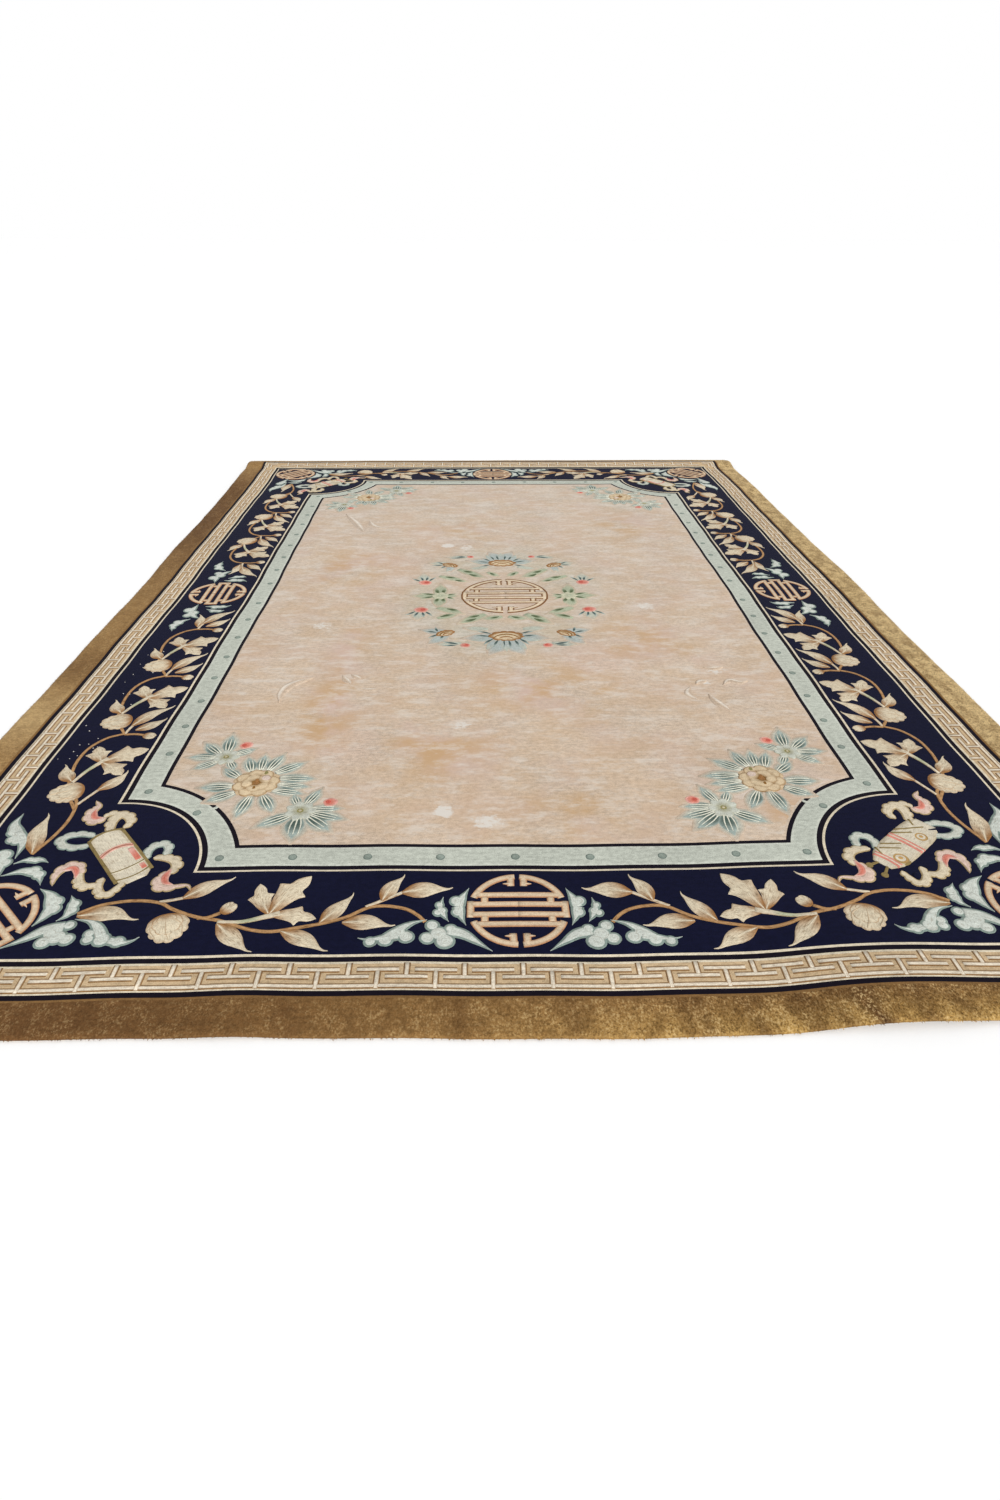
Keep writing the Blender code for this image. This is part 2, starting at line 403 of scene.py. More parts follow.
def patch(nap, spot, outline, colour, rise=PLATEAU, steps=32, strokes=0.4, apex=None, vary=VARY):
    """Raise a round of pile whose reach is a function of the angle.

    The colour is one dye or a function of the share of the reach and the angle. The
    strokes fan out from an apex on the spot's own X, or else run round.
    """
    angle = np.arange(steps) * math.tau / steps
    reach = outline(angle)
    local = (RINGS[:, None] * reach)[..., None] * np.stack([np.cos(angle), np.sin(angle)], -1)
    height = np.where(RINGS >= 1.0, RIM_DEPTH, rise * (1.0 - CROWN * RINGS ** 2))
    height = np.broadcast_to(height[:, None], local.shape[:2]).copy()
    shade = colour(RINGS[:, None], angle[None, :]) if callable(colour) else colour
    if apex is None:
        across, down = RINGS[:, None] * reach, 0.5 * reach.max() * np.cos(angle)[None, :]
    else:
        across = reach.max() * np.arctan2(local[..., 1], local[..., 0] - apex)
        down = np.hypot(local[..., 0] - apex, local[..., 1])
    grain = np.stack(np.broadcast_arrays(across + RANDOM.uniform(0.0, 9.0), down, strokes), -1)
    nap.add(spot.place(local), height, shade * RANDOM.uniform(1.0 - vary, 1.0 + vary), grain, around=True)


def scallops(radius, count, depth, squash=1.0):
    """Return an outline with rounded lobes, a little squashed along its own Y."""
    def reach(angle):
        lobes = np.abs(np.cos(0.5 * count * angle))
        oval = 1.0 / np.hypot(np.cos(angle), np.sin(angle) / squash)
        return radius * oval * (1.0 - depth + depth * np.sqrt(lobes))
    return reach


def edged(inner, rim, start, end, amount=1.0):
    """Return a colour function of a round or strip that turns to a rim's dye outward."""
    def shade(outward, other):
        return mix(inner, rim, amount * ramp(np.abs(outward), start, end))
    return shade


def two_tone(inner, rim, edge):
    """Return a colour function of a round or strip with a narrow rim of its own."""
    return edged(inner, rim, edge - 0.08, edge + 0.08)


# Profiles of half-widths, from base to tip
LEAF_SHAPE = np.array((0.14, 0.52, 0.84, 0.99, 1.02, 0.94, 0.76, 0.50, 0.25, 0.11, 0.03))
LOBE_SHAPE = np.array((0.14, 0.27, 0.40, 0.52, 0.62, 0.71, 0.80, 0.88, 0.97, 1.09,
                       1.26, 1.48, 0.76, 0.68, 0.68, 0.62, 0.49, 0.29, 0.03))
TAIL_SHAPE = np.array((1.0, 0.97, 0.88, 0.74, 0.56, 0.36, 0.18, 0.03))
SPEAR_SHAPE = np.array((0.25, 0.60, 0.90, 1.0, 0.90, 0.62, 0.30, 0.03))
MIST_SHAPE = np.array((0.5, 0.9, 1.0, 0.9, 0.55, 0.1))
PETAL_SHAPE = np.array((0.5, 0.9, 1.0, 0.85, 0.3))
HOOD_SHAPE = np.array((0.4, 0.9, 1.1, 0.9, 0.4))
FOLD_SHAPE = np.array((0.35, 0.85, 1.0, 0.95, 0.62, 0.10))
HOLLOW_SHAPE = np.array((0.45, 0.9, 1.0, 1.0, 0.9, 0.45))
CREASE_SHAPE = np.array((0.05, 0.7, 1.0, 0.8, 0.05))
BOX_SHAPE = np.array((0.55, 0.93, *[1.0] * 10, 0.93, 0.55))
SCROLL_SHAPE = np.array((0.50, 0.84, 0.96, 1.0, 1.0, 1.0, 1.0, 0.94, 0.66))


def leaf_shade(pale, dark, heel_end=0.58):
    """Return the shading of a leaf: dark at its heel and one side, with a pale rib."""
    def shade(across, along):
        heel = 1.0 - ramp(along, 0.04, heel_end)
        rib = (1.0 - ramp(np.abs(across), 0.02, 0.30)) * (1.0 - ramp(along, 0.35, 0.60))
        side = 0.30 * ramp(across, 0.10, 1.0) + 0.16 * ramp(np.abs(across), 0.80, 1.0)
        return mix(pale, dark, 0.90 * heel * (1.0 - rib) + side)
    return shade


def vectors(*points):
    """Return points as arrays."""
    return [np.asarray(point, float) for point in points]


def bent(base, tip, bend, hook=0.0):
    """Return the points of a path that bends aside, and may hook back before its tip."""
    base, tip = vectors(base, tip)
    along = tip - base
    aside = np.array([-along[1], along[0]])
    if not hook:
        return [base, base + 0.5 * along + bend * aside, tip]
    return [base, base + 0.5 * along + bend * aside, base + 0.88 * along + hook * aside, tip]


RIB_WIDTHS = 0.0016 * np.linspace(1.0, 0.3, 5)
RIB_RISE = 0.0004

# The thinnest half-width that a drawn line keeps where its hem is taken off it
THINNEST = 0.0004


def rib(nap, spot, path, share, rise):
    """Draw the pale rib of a leaf or lobe, up a share of its path."""
    line = smooth_path(path, 20)[1:max(3, round(20 * share))]
    strip(nap, spot, line, RIB_WIDTHS, CREAM, rise + RIB_RISE, steps=10, strokes=0.1)


def leaf(nap, spot, base, tip, half_width=0.018, bend=0.10, rise=PLATEAU):
    """Draw a broad border leaf with its midrib."""
    path = bent(base, tip, bend, 0.30 * bend - 0.035)
    strip(nap, spot, path, half_width * LEAF_SHAPE, leaf_shade(LEAF_PALE, LEAF_TAN),
          rise, steps=32, strokes=0.8)
    rib(nap, spot, path, 0.52, rise)


STEM_RISE = 0.0011
STEM_STEP = 0.009


def stem(nap, spot, points, half_width=0.0046, tones=(STEM, TAN_DARK)):
    """Draw a winding stem, with a darker line down either side."""
    length = sum(math.dist(a, b) for a, b in zip(points, points[1:]))
    strip(nap, spot, points, half_width, edged(*tones, 0.50, 1.0, 0.8), STEM_RISE,
          steps=max(4, round(length / STEM_STEP)), strokes=0.9)


def lobe(nap, spot, base, tip, half_width, rise, bend=0.05):
    """Draw a pointed lobe of a lily, with a barb on either side."""
    path = bent(base, tip, bend)
    strip(nap, spot, path, half_width * LOBE_SHAPE, leaf_shade(LEAF_PALE, LEAF_TAN, 0.52),
          rise, steps=40, strokes=0.9)
    rib(nap, spot, path, 0.50, rise)


LOBE_WIDTHS = (0.0201, 0.0201, 0.0265)
LOBE_STEP = 0.00022
TUBE_WIDTHS = (0.0085, 0.0066, 0.0052, 0.0046, 0.0042)
TUBE_GREEN = dye("#b4b899")


def lily(nap, spot, centre, tips, foot, swell=1.0):
    """Draw an open trumpet flower: its lobes, then the tube down to its foot."""
    centre, end = vectors(centre, foot[-1])
    for number, tip in enumerate(tips):
        lobe(nap, spot, centre, tip, swell * LOBE_WIDTHS[number], PLATEAU + LOBE_STEP * number)
    def shade(across, along):
        green = ramp(along, 0.25, 0.45) * (1.0 - ramp(along, 0.55, 0.8))
        return mix(mix(CREAM, TUBE_GREEN, green), LEAF_TAN, 0.5 * ramp(np.abs(across), 0.6, 1.0))
    start = centre + 0.22 * (centre - end)
    strip(nap, spot, [start] + list(foot), TUBE_WIDTHS, shade, rise=0.0021, steps=18, strokes=0.7)


# Layers of a full flower's petals: how far each sits from the middle and how large it is, as
# shares of the flower's radius, then its lobes, its height and how dark its rim is
Layer = namedtuple("Layer", "shift size lobes rise rim")
FLOWER_LAYERS = (
    Layer(0.0, 1.0, 11, 0.0015, 0.40),
    Layer(-0.20, 0.76, 8, 0.0019, 0.85),
    Layer(-0.42, 0.50, 6, 0.0023, 0.85),
)
FOLD_LINE_TURNS = (-50, -6, 38)
FOLD_LINE_DYE = mix(LEAF_PALE, LEAF_TAN, 0.42)
FOLD_LINE_WIDTHS = (0.0009, 0.0014, 0.0004)


def round_flower(nap, spot, centre, radius, facing):
    """Draw a full flower seen from the side: layers of folded petals that open from its heel."""
    own = spot.at(*centre, turn=facing)
    for layer in FLOWER_LAYERS:
        reach = layer.size * radius
        def outline(angle):
            turned = np.abs((angle + math.pi) % math.tau - math.pi)
            hem = 1.0 - ramp(turned, 1.5, 2.2)
            teeth = 0.15 * hem * (np.sqrt(np.abs(np.cos(0.5 * layer.lobes * angle))) - 1.0)
            return reach * (1.0 + teeth + 0.04 * np.cos(3 * angle + 0.6))
        def shade(ring, angle):
            from_heel = np.hypot(ring * np.cos(angle) + 0.95, ring * np.sin(angle))
            tan = 0.9 * (1.0 - ramp(from_heel, 0.10, 1.35))
            return mix(LEAF_PALE, LEAF_TAN, tan + layer.rim * ramp(ring, 0.84, 0.95))
        patch(nap, own.at(layer.shift * radius, 0.0), outline, shade, layer.rise, steps=72, strokes=0.45,
              apex=-1.05 * reach)
    heel = np.array([-0.82, 0.0])
    for turn in FOLD_LINE_TURNS:
        way = np.array([math.cos(math.radians(turn)), math.sin(math.radians(turn))])
        points = [radius * (heel + 0.25 * way), radius * (heel + way), radius * (0.86 * way + (-0.02, 0.06))]
        strip(nap, own, points, FOLD_LINE_WIDTHS, FOLD_LINE_DYE, rise=0.0026, steps=10, strokes=0.0)


def bud(nap, spot, base, tip, radius=0.0175):
    """Draw a closed bud with a notched tip, its heel at its base."""
    base, tip = vectors(base, tip)
    facing = math.degrees(math.atan2(*(tip - base)[::-1]))
    own = spot.at(*(0.5 * (base + tip)), turn=facing)
    def outline(angle):
        return radius * (1.0 + 0.10 * np.cos(2 * angle) - 0.16 * np.exp(-(np.sin(angle) ** 2) * 22)
                         * (np.cos(angle) > 0))
    def shade(ring, angle):
        return mix(LEAF_PALE, LEAF_TAN, ramp(-ring * np.cos(angle), -0.2, 0.9) + 0.25 * ramp(ring, 0.8, 1.0))
    patch(nap, own, outline, shade, rise=0.0017, steps=36, strokes=0.9, apex=-1.1 * radius)


CLOUD_HEM = 0.0042
CLOUD_TAIL_STEP = 0.00004
CLOUD_ROUND_STEP = 0.00006


def cloud(nap, spot, rounds, tails):
    """Draw a cloud scroll: round lobes run together, with tapering tails and one hem."""
    inner = edged(CLOUD, CLOUD_RIM, 0.80, 0.94, 0.55)
    for drawn, grow, rise in ((CLOUD_RIM, 0.0, 0.0012), (inner, -CLOUD_HEM, 0.0017)):
        for number, (points, half_width) in enumerate(tails):
            width = np.maximum(half_width * TAIL_SHAPE + grow, THINNEST)
            strip(nap, spot, points, width, drawn, rise + CLOUD_TAIL_STEP * number, steps=20, strokes=0.5,
                  vary=0.01)
        for number, (x, y, radius) in enumerate(rounds):
            patch(nap, spot.at(x, y, 40 * number), scallops(radius + grow, 3, 0.04), drawn,
                  rise + CLOUD_ROUND_STEP * (number + 1), steps=22, strokes=0.5, vary=0.01)


# The border's winding stems on the near left quarter; the other quarters mirror it
SHORT_STEMS = (
    ((-0.188, -1.712), (-0.205, -1.692), (-0.230, -1.676), (-0.270, -1.668), (-0.305, -1.672),
     (-0.345, -1.697), (-0.390, -1.714), (-0.440, -1.727), (-0.490, -1.738), (-0.530, -1.733),
     (-0.565, -1.720), (-0.600, -1.705), (-0.650, -1.693), (-0.700, -1.672), (-0.735, -1.652),
     (-0.790, -1.645), (-0.850, -1.655), (-0.890, -1.678)),
    ((-0.645, -1.697), (-0.625, -1.696), (-0.603, -1.684)),
)
PALE_STEMS = (
    ((-0.310, -1.670), (-0.275, -1.650), (-0.235, -1.626)),
    ((-0.735, -1.650), (-0.712, -1.645), (-0.685, -1.637)),
)
Leaf = namedtuple("Leaf", "base tip half_width bend")
SHORT_LEAVES = (
    Leaf((-0.279, -1.654), (-0.239, -1.573), 0.0185, 0.05),
    Leaf((-0.240, -1.629), (-0.135, -1.612), 0.0240, 0.03),
    Leaf((-0.353, -1.713), (-0.247, -1.722), 0.0220, 0.04),
    Leaf((-0.398, -1.714), (-0.340, -1.628), 0.0190, -0.03),
    Leaf((-0.472, -1.737), (-0.372, -1.788), 0.0205, 0.03),
    Leaf((-0.602, -1.714), (-0.517, -1.791), 0.0210, -0.03),
    Leaf((-0.690, -1.640), (-0.598, -1.577), 0.0210, 0.04),
    Leaf((-0.888, -1.685), (-0.762, -1.699), 0.0225, 0.10),
)
Lily = namedtuple("Lily", "centre tips foot")
SHORT_LILY = Lily((-0.503, -1.692), ((-0.540, -1.601), (-0.407, -1.702), (-0.437, -1.577)),
                  ((-0.512, -1.698), (-0.535, -1.706), (-0.560, -1.711), (-0.602, -1.709)))
SHORT_BUD = ((-0.600, -1.686), (-0.578, -1.655))
Round = namedtuple("Round", "centre radius facing")
SHORT_ROUND = Round((-0.697, -1.722), 0.043, -70)

# One run of the long side's winding stem, its joint at the origin; the border repeats it
RUN_STEPS = (-0.315, -0.655, -0.990)
RUN_X = -1.040
RUN_STEM = ((0.0, 0.0), (-0.040, -0.022), (-0.068, -0.070), (-0.074, -0.130), (-0.066, -0.190),
            (-0.055, -0.235), (-0.034, -0.285), (0.0, -0.338))
RUN_LEAVES = (
    Leaf((0.004, 0.040), (0.086, 0.152), 0.0220, 0.08),
    Leaf((0.022, 0.018), (0.088, 0.082), 0.0195, -0.06),
    Leaf((-0.052, -0.226), (-0.098, -0.150), 0.0205, 0.06),
)
RUN_PALE_STEM = ((0.0, 0.0), (0.002, 0.022), (0.008, 0.050))
RUN_SIDE_STEM = ((0.0, -0.004), (0.030, -0.002), (0.058, -0.008))
RUN_LILY = Lily((-0.008, -0.140), ((-0.044, -0.066), (0.062, -0.196), (0.090, -0.078)),
                ((-0.020, -0.156), (-0.034, -0.185), (-0.048, -0.228)))
RUN_LILY_SWELL = 1.2
RUN_BUD = ((0.052, -0.006), (0.086, -0.016))
RUN_ROUND = Round((-0.046, -0.272), 0.044, 200)
FIRST_RUN_LEAF = Leaf((-0.006, 0.016), (-0.030, 0.120), 0.0190, -0.08)

# The end of the long side's vine, beside the corner medallion
END_STEM = ((-1.078, -1.262), (-1.046, -1.300), (-1.035, -1.360), (-1.042, -1.420), (-1.066, -1.492))
END_PALE_STEM = ((-1.040, -1.310), (-1.022, -1.270), (-1.010, -1.245))
END_LEAVES = (
    Leaf((-1.014, -1.252), (-0.968, -1.166), 0.0190, -0.10),
    Leaf((-1.067, -1.490), (-1.093, -1.344), 0.0230, 0.04),
)
PALE_HALF_WIDTH = 0.0042
END_PALE_HALF_WIDTH = 0.0040


def pale_stem(nap, spot, points, half_width=PALE_HALF_WIDTH):
    """Draw a young stem, cream with a tan line down either side."""
    stem(nap, spot, points, half_width, (CREAM, STEM))


def border_vines(leaves, stems, flowers, quarter):
    """Draw the vine of one quarter of the navy border."""
    for points in SHORT_STEMS:
        stem(stems, quarter, points)
    for points in PALE_STEMS:
        pale_stem(stems, quarter, points)
    for each in SHORT_LEAVES:
        leaf(leaves, quarter, *each)
    lily(flowers, quarter, *SHORT_LILY)
    bud(flowers, quarter, *SHORT_BUD)
    round_flower(flowers, quarter, *SHORT_ROUND)
    for joint in RUN_STEPS:
        run = quarter.at(RUN_X, joint)
        stem(stems, run, RUN_STEM)
        pale_stem(stems, run, RUN_PALE_STEM)
        stem(stems, run, RUN_SIDE_STEM)
        for each in RUN_LEAVES:
            leaf(leaves, run, *each)
        if joint == RUN_STEPS[0]:
            leaf(leaves, run, *FIRST_RUN_LEAF)
        lily(flowers, run, *RUN_LILY, RUN_LILY_SWELL)
        bud(flowers, run, *RUN_BUD)
        round_flower(flowers, run, *RUN_ROUND)
    stem(stems, quarter, END_STEM)
    pale_stem(stems, quarter, END_PALE_STEM, END_PALE_HALF_WIDTH)
    for each in END_LEAVES:
        leaf(leaves, quarter, *each)


# Cloud scrolls beside the medallions of the near left quarter: their round lobes, each
# with its x, y and radius, and their tails, each with its path and half-width
Cloud = namedtuple("Cloud", "rounds tails")
CLOUDS = (
    Cloud(((-0.173, -1.722, 0.0165), (-0.182, -1.756, 0.0175), (-0.160, -1.744, 0.0215),
           (-0.148, -1.763, 0.0220), (-0.136, -1.731, 0.0150)),
          ((((-0.142, -1.735), (-0.112, -1.744), (-0.085, -1.765), (-0.056, -1.789)), 0.0170),)),
    Cloud(((-0.224, -1.753, 0.0185), (-0.238, -1.742, 0.0170), (-0.264, -1.762, 0.0175),
           (-0.293, -1.766, 0.0145)),
          ((((-0.262, -1.758), (-0.235, -1.732), (-0.212, -1.716), (-0.184, -1.707)), 0.0160),
           (((-0.240, -1.750), (-0.275, -1.758), (-0.300, -1.760), (-0.318, -1.756)), 0.0140))),
    Cloud(((-0.126, -1.652, 0.0165), (-0.122, -1.684, 0.0155)),
          ((((-0.122, -1.668), (-0.114, -1.642), (-0.101, -1.614)), 0.0150),
           (((-0.122, -1.668), (-0.115, -1.698), (-0.106, -1.720)), 0.0145))),
    Cloud(((-0.160, -1.664, 0.0110), (-0.163, -1.686, 0.0120), (-0.154, -1.680, 0.0120)),
          ((((-0.158, -1.680), (-0.157, -1.660), (-0.153, -1.641)), 0.0100),
           (((-0.156, -1.680), (-0.149, -1.696), (-0.141, -1.710)), 0.0110))),
    Cloud(((-0.948, -1.642, 0.0190), (-0.944, -1.663, 0.0185)),
          ((((-0.946, -1.655), (-0.968, -1.622), (-0.996, -1.604)), 0.0210),
           (((-0.946, -1.655), (-0.956, -1.690), (-0.966, -1.712)), 0.0175))),
    Cloud(((-0.907, -1.650, 0.0155), (-0.905, -1.668, 0.0155)),
          ((((-0.906, -1.660), (-0.912, -1.642), (-0.922, -1.625)), 0.0140),
           (((-0.906, -1.660), (-0.910, -1.682), (-0.924, -1.698)), 0.0140))),
    Cloud(((-0.893, -1.710, 0.0150), (-0.920, -1.733, 0.0190), (-0.926, -1.755, 0.0185),
           (-0.905, -1.742, 0.0220), (-0.884, -1.748, 0.0180)),
          ((((-0.902, -1.715), (-0.935, -1.722), (-0.968, -1.748), (-1.004, -1.772)), 0.0185),)),
    Cloud(((-0.845, -1.735, 0.0140), (-0.842, -1.750, 0.0150), (-0.815, -1.752, 0.0200),
           (-0.782, -1.759, 0.0165)),
          ((((-0.820, -1.742), (-0.838, -1.715), (-0.858, -1.700), (-0.888, -1.694)), 0.0160),
           (((-0.800, -1.755), (-0.775, -1.762), (-0.756, -1.758), (-0.744, -1.748)), 0.0130))),
    Cloud(((-1.140, -1.412, 0.0200), (-1.132, -1.440, 0.0170), (-1.120, -1.448, 0.0140)),
          ((((-1.132, -1.420), (-1.152, -1.385), (-1.150, -1.345)), 0.0200),
           (((-1.134, -1.415), (-1.104, -1.452), (-1.096, -1.506)), 0.0185))),
    Cloud(((-1.128, -1.496, 0.0240), (-1.112, -1.520, 0.0180)),
          ((((-1.128, -1.500), (-1.112, -1.548), (-1.100, -1.590)), 0.0190),)),
    Cloud(((-1.036, -1.548, 0.0180), (-1.020, -1.560, 0.0160)),
          ((((-1.030, -1.552), (-1.060, -1.548), (-1.098, -1.563)), 0.0160),
           (((-1.028, -1.552), (-1.012, -1.572), (-1.002, -1.592)), 0.0130))),
    Cloud(((-1.046, -1.512, 0.0120), (-1.062, -1.511, 0.0110)),
          ((((-1.050, -1.512), (-1.072, -1.513), (-1.090, -1.524)), 0.0110),
           (((-1.052, -1.512), (-1.034, -1.512), (-1.018, -1.520)), 0.0115))),
    Cloud(((-1.120, -0.156, 0.0210), (-1.098, -0.180, 0.0220), (-1.110, -0.202, 0.0180)),
          ((((-1.112, -0.165), (-1.106, -0.135), (-1.102, -0.106)), 0.0160),
           (((-1.100, -0.188), (-1.082, -0.212), (-1.058, -0.230)), 0.0150))),
    Cloud(((-1.126, -0.260, 0.0170), (-1.134, -0.286, 0.0150), (-1.128, -0.306, 0.0120)),
          ((((-1.120, -0.272), (-1.112, -0.250), (-1.090, -0.234)), 0.0150),
           (((-1.124, -0.272), (-1.132, -0.300), (-1.124, -0.332)), 0.0150))),
    Cloud(((-1.036, -0.132, 0.0150), (-1.010, -0.127, 0.0140)),
          ((((-1.022, -0.130), (-1.046, -0.124), (-1.070, -0.126)), 0.0140),
           (((-1.022, -0.130), (-1.000, -0.128), (-0.982, -0.116)), 0.0130))),
    Cloud(((-1.032, -0.164, 0.0140), (-1.010, -0.166, 0.0120)),
          ((((-1.020, -0.165), (-1.040, -0.158), (-1.060, -0.148)), 0.0120),
           (((-1.020, -0.165), (-1.005, -0.168), (-0.994, -0.160)), 0.0110))),
)


# Shares of a medallion's radius
RING_REACH = 0.928
STROKE = 0.078
BAR_REACH = 0.399
GAP_REACH = 0.327
BOX_REACH = 0.139
TIE_REACH = 0.654
TIE_ENDS = (0.33, 0.19)
END_GAP = 0.053
STUB_REACH = 0.655
BRACE_Y = 0.715
BRACE_REACH = 0.29
BRACE_WIDTHS = (0.055, 0.03, 0.006)
RING_LINE_REACH = 0.99
RING_LINE_HALF_WIDTH = 0.0034


def medallion(nap, spot, radius, colour, rise):
    """Draw a round longevity figure, its bars along the spot's own X."""
    own = spot.at(0.0, 0.0, size=radius)
    def line(points, steps):
        strip(nap, own, points, STROKE, colour, rise, steps=steps)
    start, end = math.asin(GAP_REACH / RING_REACH), 0.5 * math.pi - END_GAP
    for sx, sy in ((1, 1), (-1, 1), (1, -1), (-1, -1)):
        turns = np.linspace(start, end, 14)
        line([(sx * RING_REACH * math.cos(a), sy * RING_REACH * math.sin(a)) for a in turns], 30)
        stub = sx * (END_GAP + STROKE)
        line([(stub, sy * RING_REACH), (stub, sy * STUB_REACH)], 5)
        brace = [(stub, sy * BRACE_Y), (sx * BRACE_REACH, sy * BRACE_Y)]
        strip(nap, own, brace, BRACE_WIDTHS, colour, rise + 0.0001, steps=5)
        line([(sx * TIE_REACH, sy * end_y) for end_y in TIE_ENDS], 4)
        line([(0.0, sy * BOX_REACH), (sx * RING_REACH, sy * BOX_REACH)], 8)
    reach = math.sqrt(RING_REACH ** 2 - BAR_REACH ** 2)
    for sy in (-1, 1):
        line([(-reach, sy * BAR_REACH), (reach, sy * BAR_REACH)], 14)
        line([(sy * RING_REACH, -BOX_REACH - STROKE), (sy * RING_REACH, BOX_REACH + STROKE)], 5)


def ringed_medallion(nap):
    """Draw the field's medallion: pale strokes between thin brown lines, in a brown ring."""
    spot = WHOLE.at(WREATH_X, CENTRE_MEDALLION_Y)
    medallion(nap, spot, CENTRE_MEDALLION_RADIUS, two_tone(FIELD_CREAM, BROWN, 0.58), rise=0.0012)
    ring = RING_LINE_REACH * CENTRE_MEDALLION_RADIUS
    for side in (-1, 1):
        turns = np.linspace(-0.5 * math.pi + END_GAP, 0.5 * math.pi - END_GAP, 40)
        points = [(side * ring * math.cos(a), ring * math.sin(a)) for a in turns]
        strip(nap, spot, points, RING_LINE_HALF_WIDTH, BROWN, steps=60)


def medallion_spots():
    """Return where each border medallion lies, turned as its side runs."""
    side_x, side_y = HALF_WIDTH - SIDE_MEDALLION_INSET, HALF_LENGTH - SIDE_MEDALLION_INSET
    corner_x = HALF_WIDTH - CORNER_MEDALLION_INSET
    corner_y = HALF_LENGTH - CORNER_MEDALLION_INSET
    spots = [WHOLE.at(0.0, side_y), WHOLE.at(0.0, -side_y)]
    spots += [WHOLE.at(side_x, 0.0, 90), WHOLE.at(-side_x, 0.0, 90)]
    for sx in (-1, 1):
        for sy in (-1, 1):
            spots.append(WHOLE.at(sx * corner_x, sy * corner_y, -45 * sx * sy))
    return spots


# The fret between the gold and navy borders, measured in from the gold border's line
FRET_START = GOLD_LINE.inset + 0.0065
FRET_END = FRET_LINE.inset - 0.0065
FRET_PITCH = 0.111
FRET_STROKE = 0.0068
FRET_OUTER = 0.0095
FRET_BAR = 0.0400
FRET_NEAR_ROW = 0.020
FRET_FAR_ROW = 0.037
FRET_CORNER_STEP = 0.018
FRET_ROOT = 0.004
FRET_OVERRUN = 0.03
FRET_UNEVEN = 0.0015
FRET_SHADE = edged(FRET_CREAM, FRET_BROWN, 0.54, 0.68)


def fret_side(nap, spot, half_run):
    """Draw the fret along one side; the spot's X runs along it and its Y points inward."""
    depth = FRET_END - FRET_START
    count = round(2 * half_run / FRET_PITCH)
    pitch = 2 * half_run / count
    reach = FRET_BAR * pitch / FRET_PITCH
    def line(start, end, rise, steps):
        strip(nap, spot, [start, end], FRET_STROKE, FRET_SHADE, rise, steps=steps)
    end = half_run + FRET_OVERRUN
    line((-end, FRET_OUTER), (end, FRET_OUTER), rise=0.0009, steps=120)
    for number in range(2 * count - 1):
        if number % 2 == 0:
            root, row = FRET_ROOT, depth - FRET_NEAR_ROW
        else:
            root, row = depth - FRET_ROOT, depth - FRET_FAR_ROW
        x = -half_run + 0.5 * pitch * (number + 1) + RANDOM.uniform(-FRET_UNEVEN, FRET_UNEVEN)
        line((x, root), (x, row), rise=0.0010, steps=3)
        line((x - reach, row), (x + reach, row), rise=0.0011, steps=8)


def fret(nap):
    """Draw the fret along all four sides, with a stepped figure in each corner."""
    run_x, run_y = HALF_WIDTH - FRET_LINE.inset, HALF_LENGTH - FRET_LINE.inset
    fret_side(nap, WHOLE.at(0.0, -HALF_LENGTH + FRET_START), run_x)
    fret_side(nap, WHOLE.at(0.0, HALF_LENGTH - FRET_START, 180), run_x)
    fret_side(nap, WHOLE.at(HALF_WIDTH - FRET_START, 0.0, 90), run_y)
    fret_side(nap, WHOLE.at(-HALF_WIDTH + FRET_START, 0.0, -90), run_y)
    depth = FRET_END - FRET_START
    for quarter in QUARTERS:
        own = quarter.at(-HALF_WIDTH + FRET_START, -HALF_LENGTH + FRET_START)
        for inset in (FRET_CORNER_STEP, 2 * FRET_CORNER_STEP):
            for end in ((inset, depth), (depth, inset)):
                strip(nap, own, [(inset, inset), end], FRET_STROKE, FRET_SHADE, rise=0.0010, steps=6)


# Dots along the mint band
DOT_RADIUS = 0.0105
DOT_LINE_Y = -1.514
DOT_LINE_X = -0.888
SHORT_DOTS = (0.0, -0.165, -0.325, -0.490, -0.650)
LONG_DOTS = (-1.260, -1.092, -0.955, -0.815, -0.672, -0.530, -0.385, -0.240, -0.095)
NOTCH_DOT = (-0.745, -1.350)


def mint_dots(nap):
    """Draw the dots of the mint band."""
    def shade(ring, angle):
        return mix(MINT_DOT, MINT_DOT_RIM, ramp(ring, 0.62, 0.86) + 0.25 * np.cos(angle + 2.2))
    places = {(sx * x, sy * DOT_LINE_Y) for x in SHORT_DOTS for sx in (1, -1) for sy in (1, -1)}
    places |= {(sx * DOT_LINE_X, sy * y) for y in LONG_DOTS for sx in (1, -1) for sy in (1, -1)}
    places |= {(sx * NOTCH_DOT[0], sy * NOTCH_DOT[1]) for sx in (1, -1) for sy in (1, -1)}
    for x, y in sorted(places):
        patch(nap, WHOLE.at(x, y), scallops(DOT_RADIUS, 5, 0.05), shade, rise=0.0007, steps=20)


VEIN_WIDTHS = (0.0021, 0.0017, 0.0008)
VEIN_RISE = FIELD_RISE + 0.0008


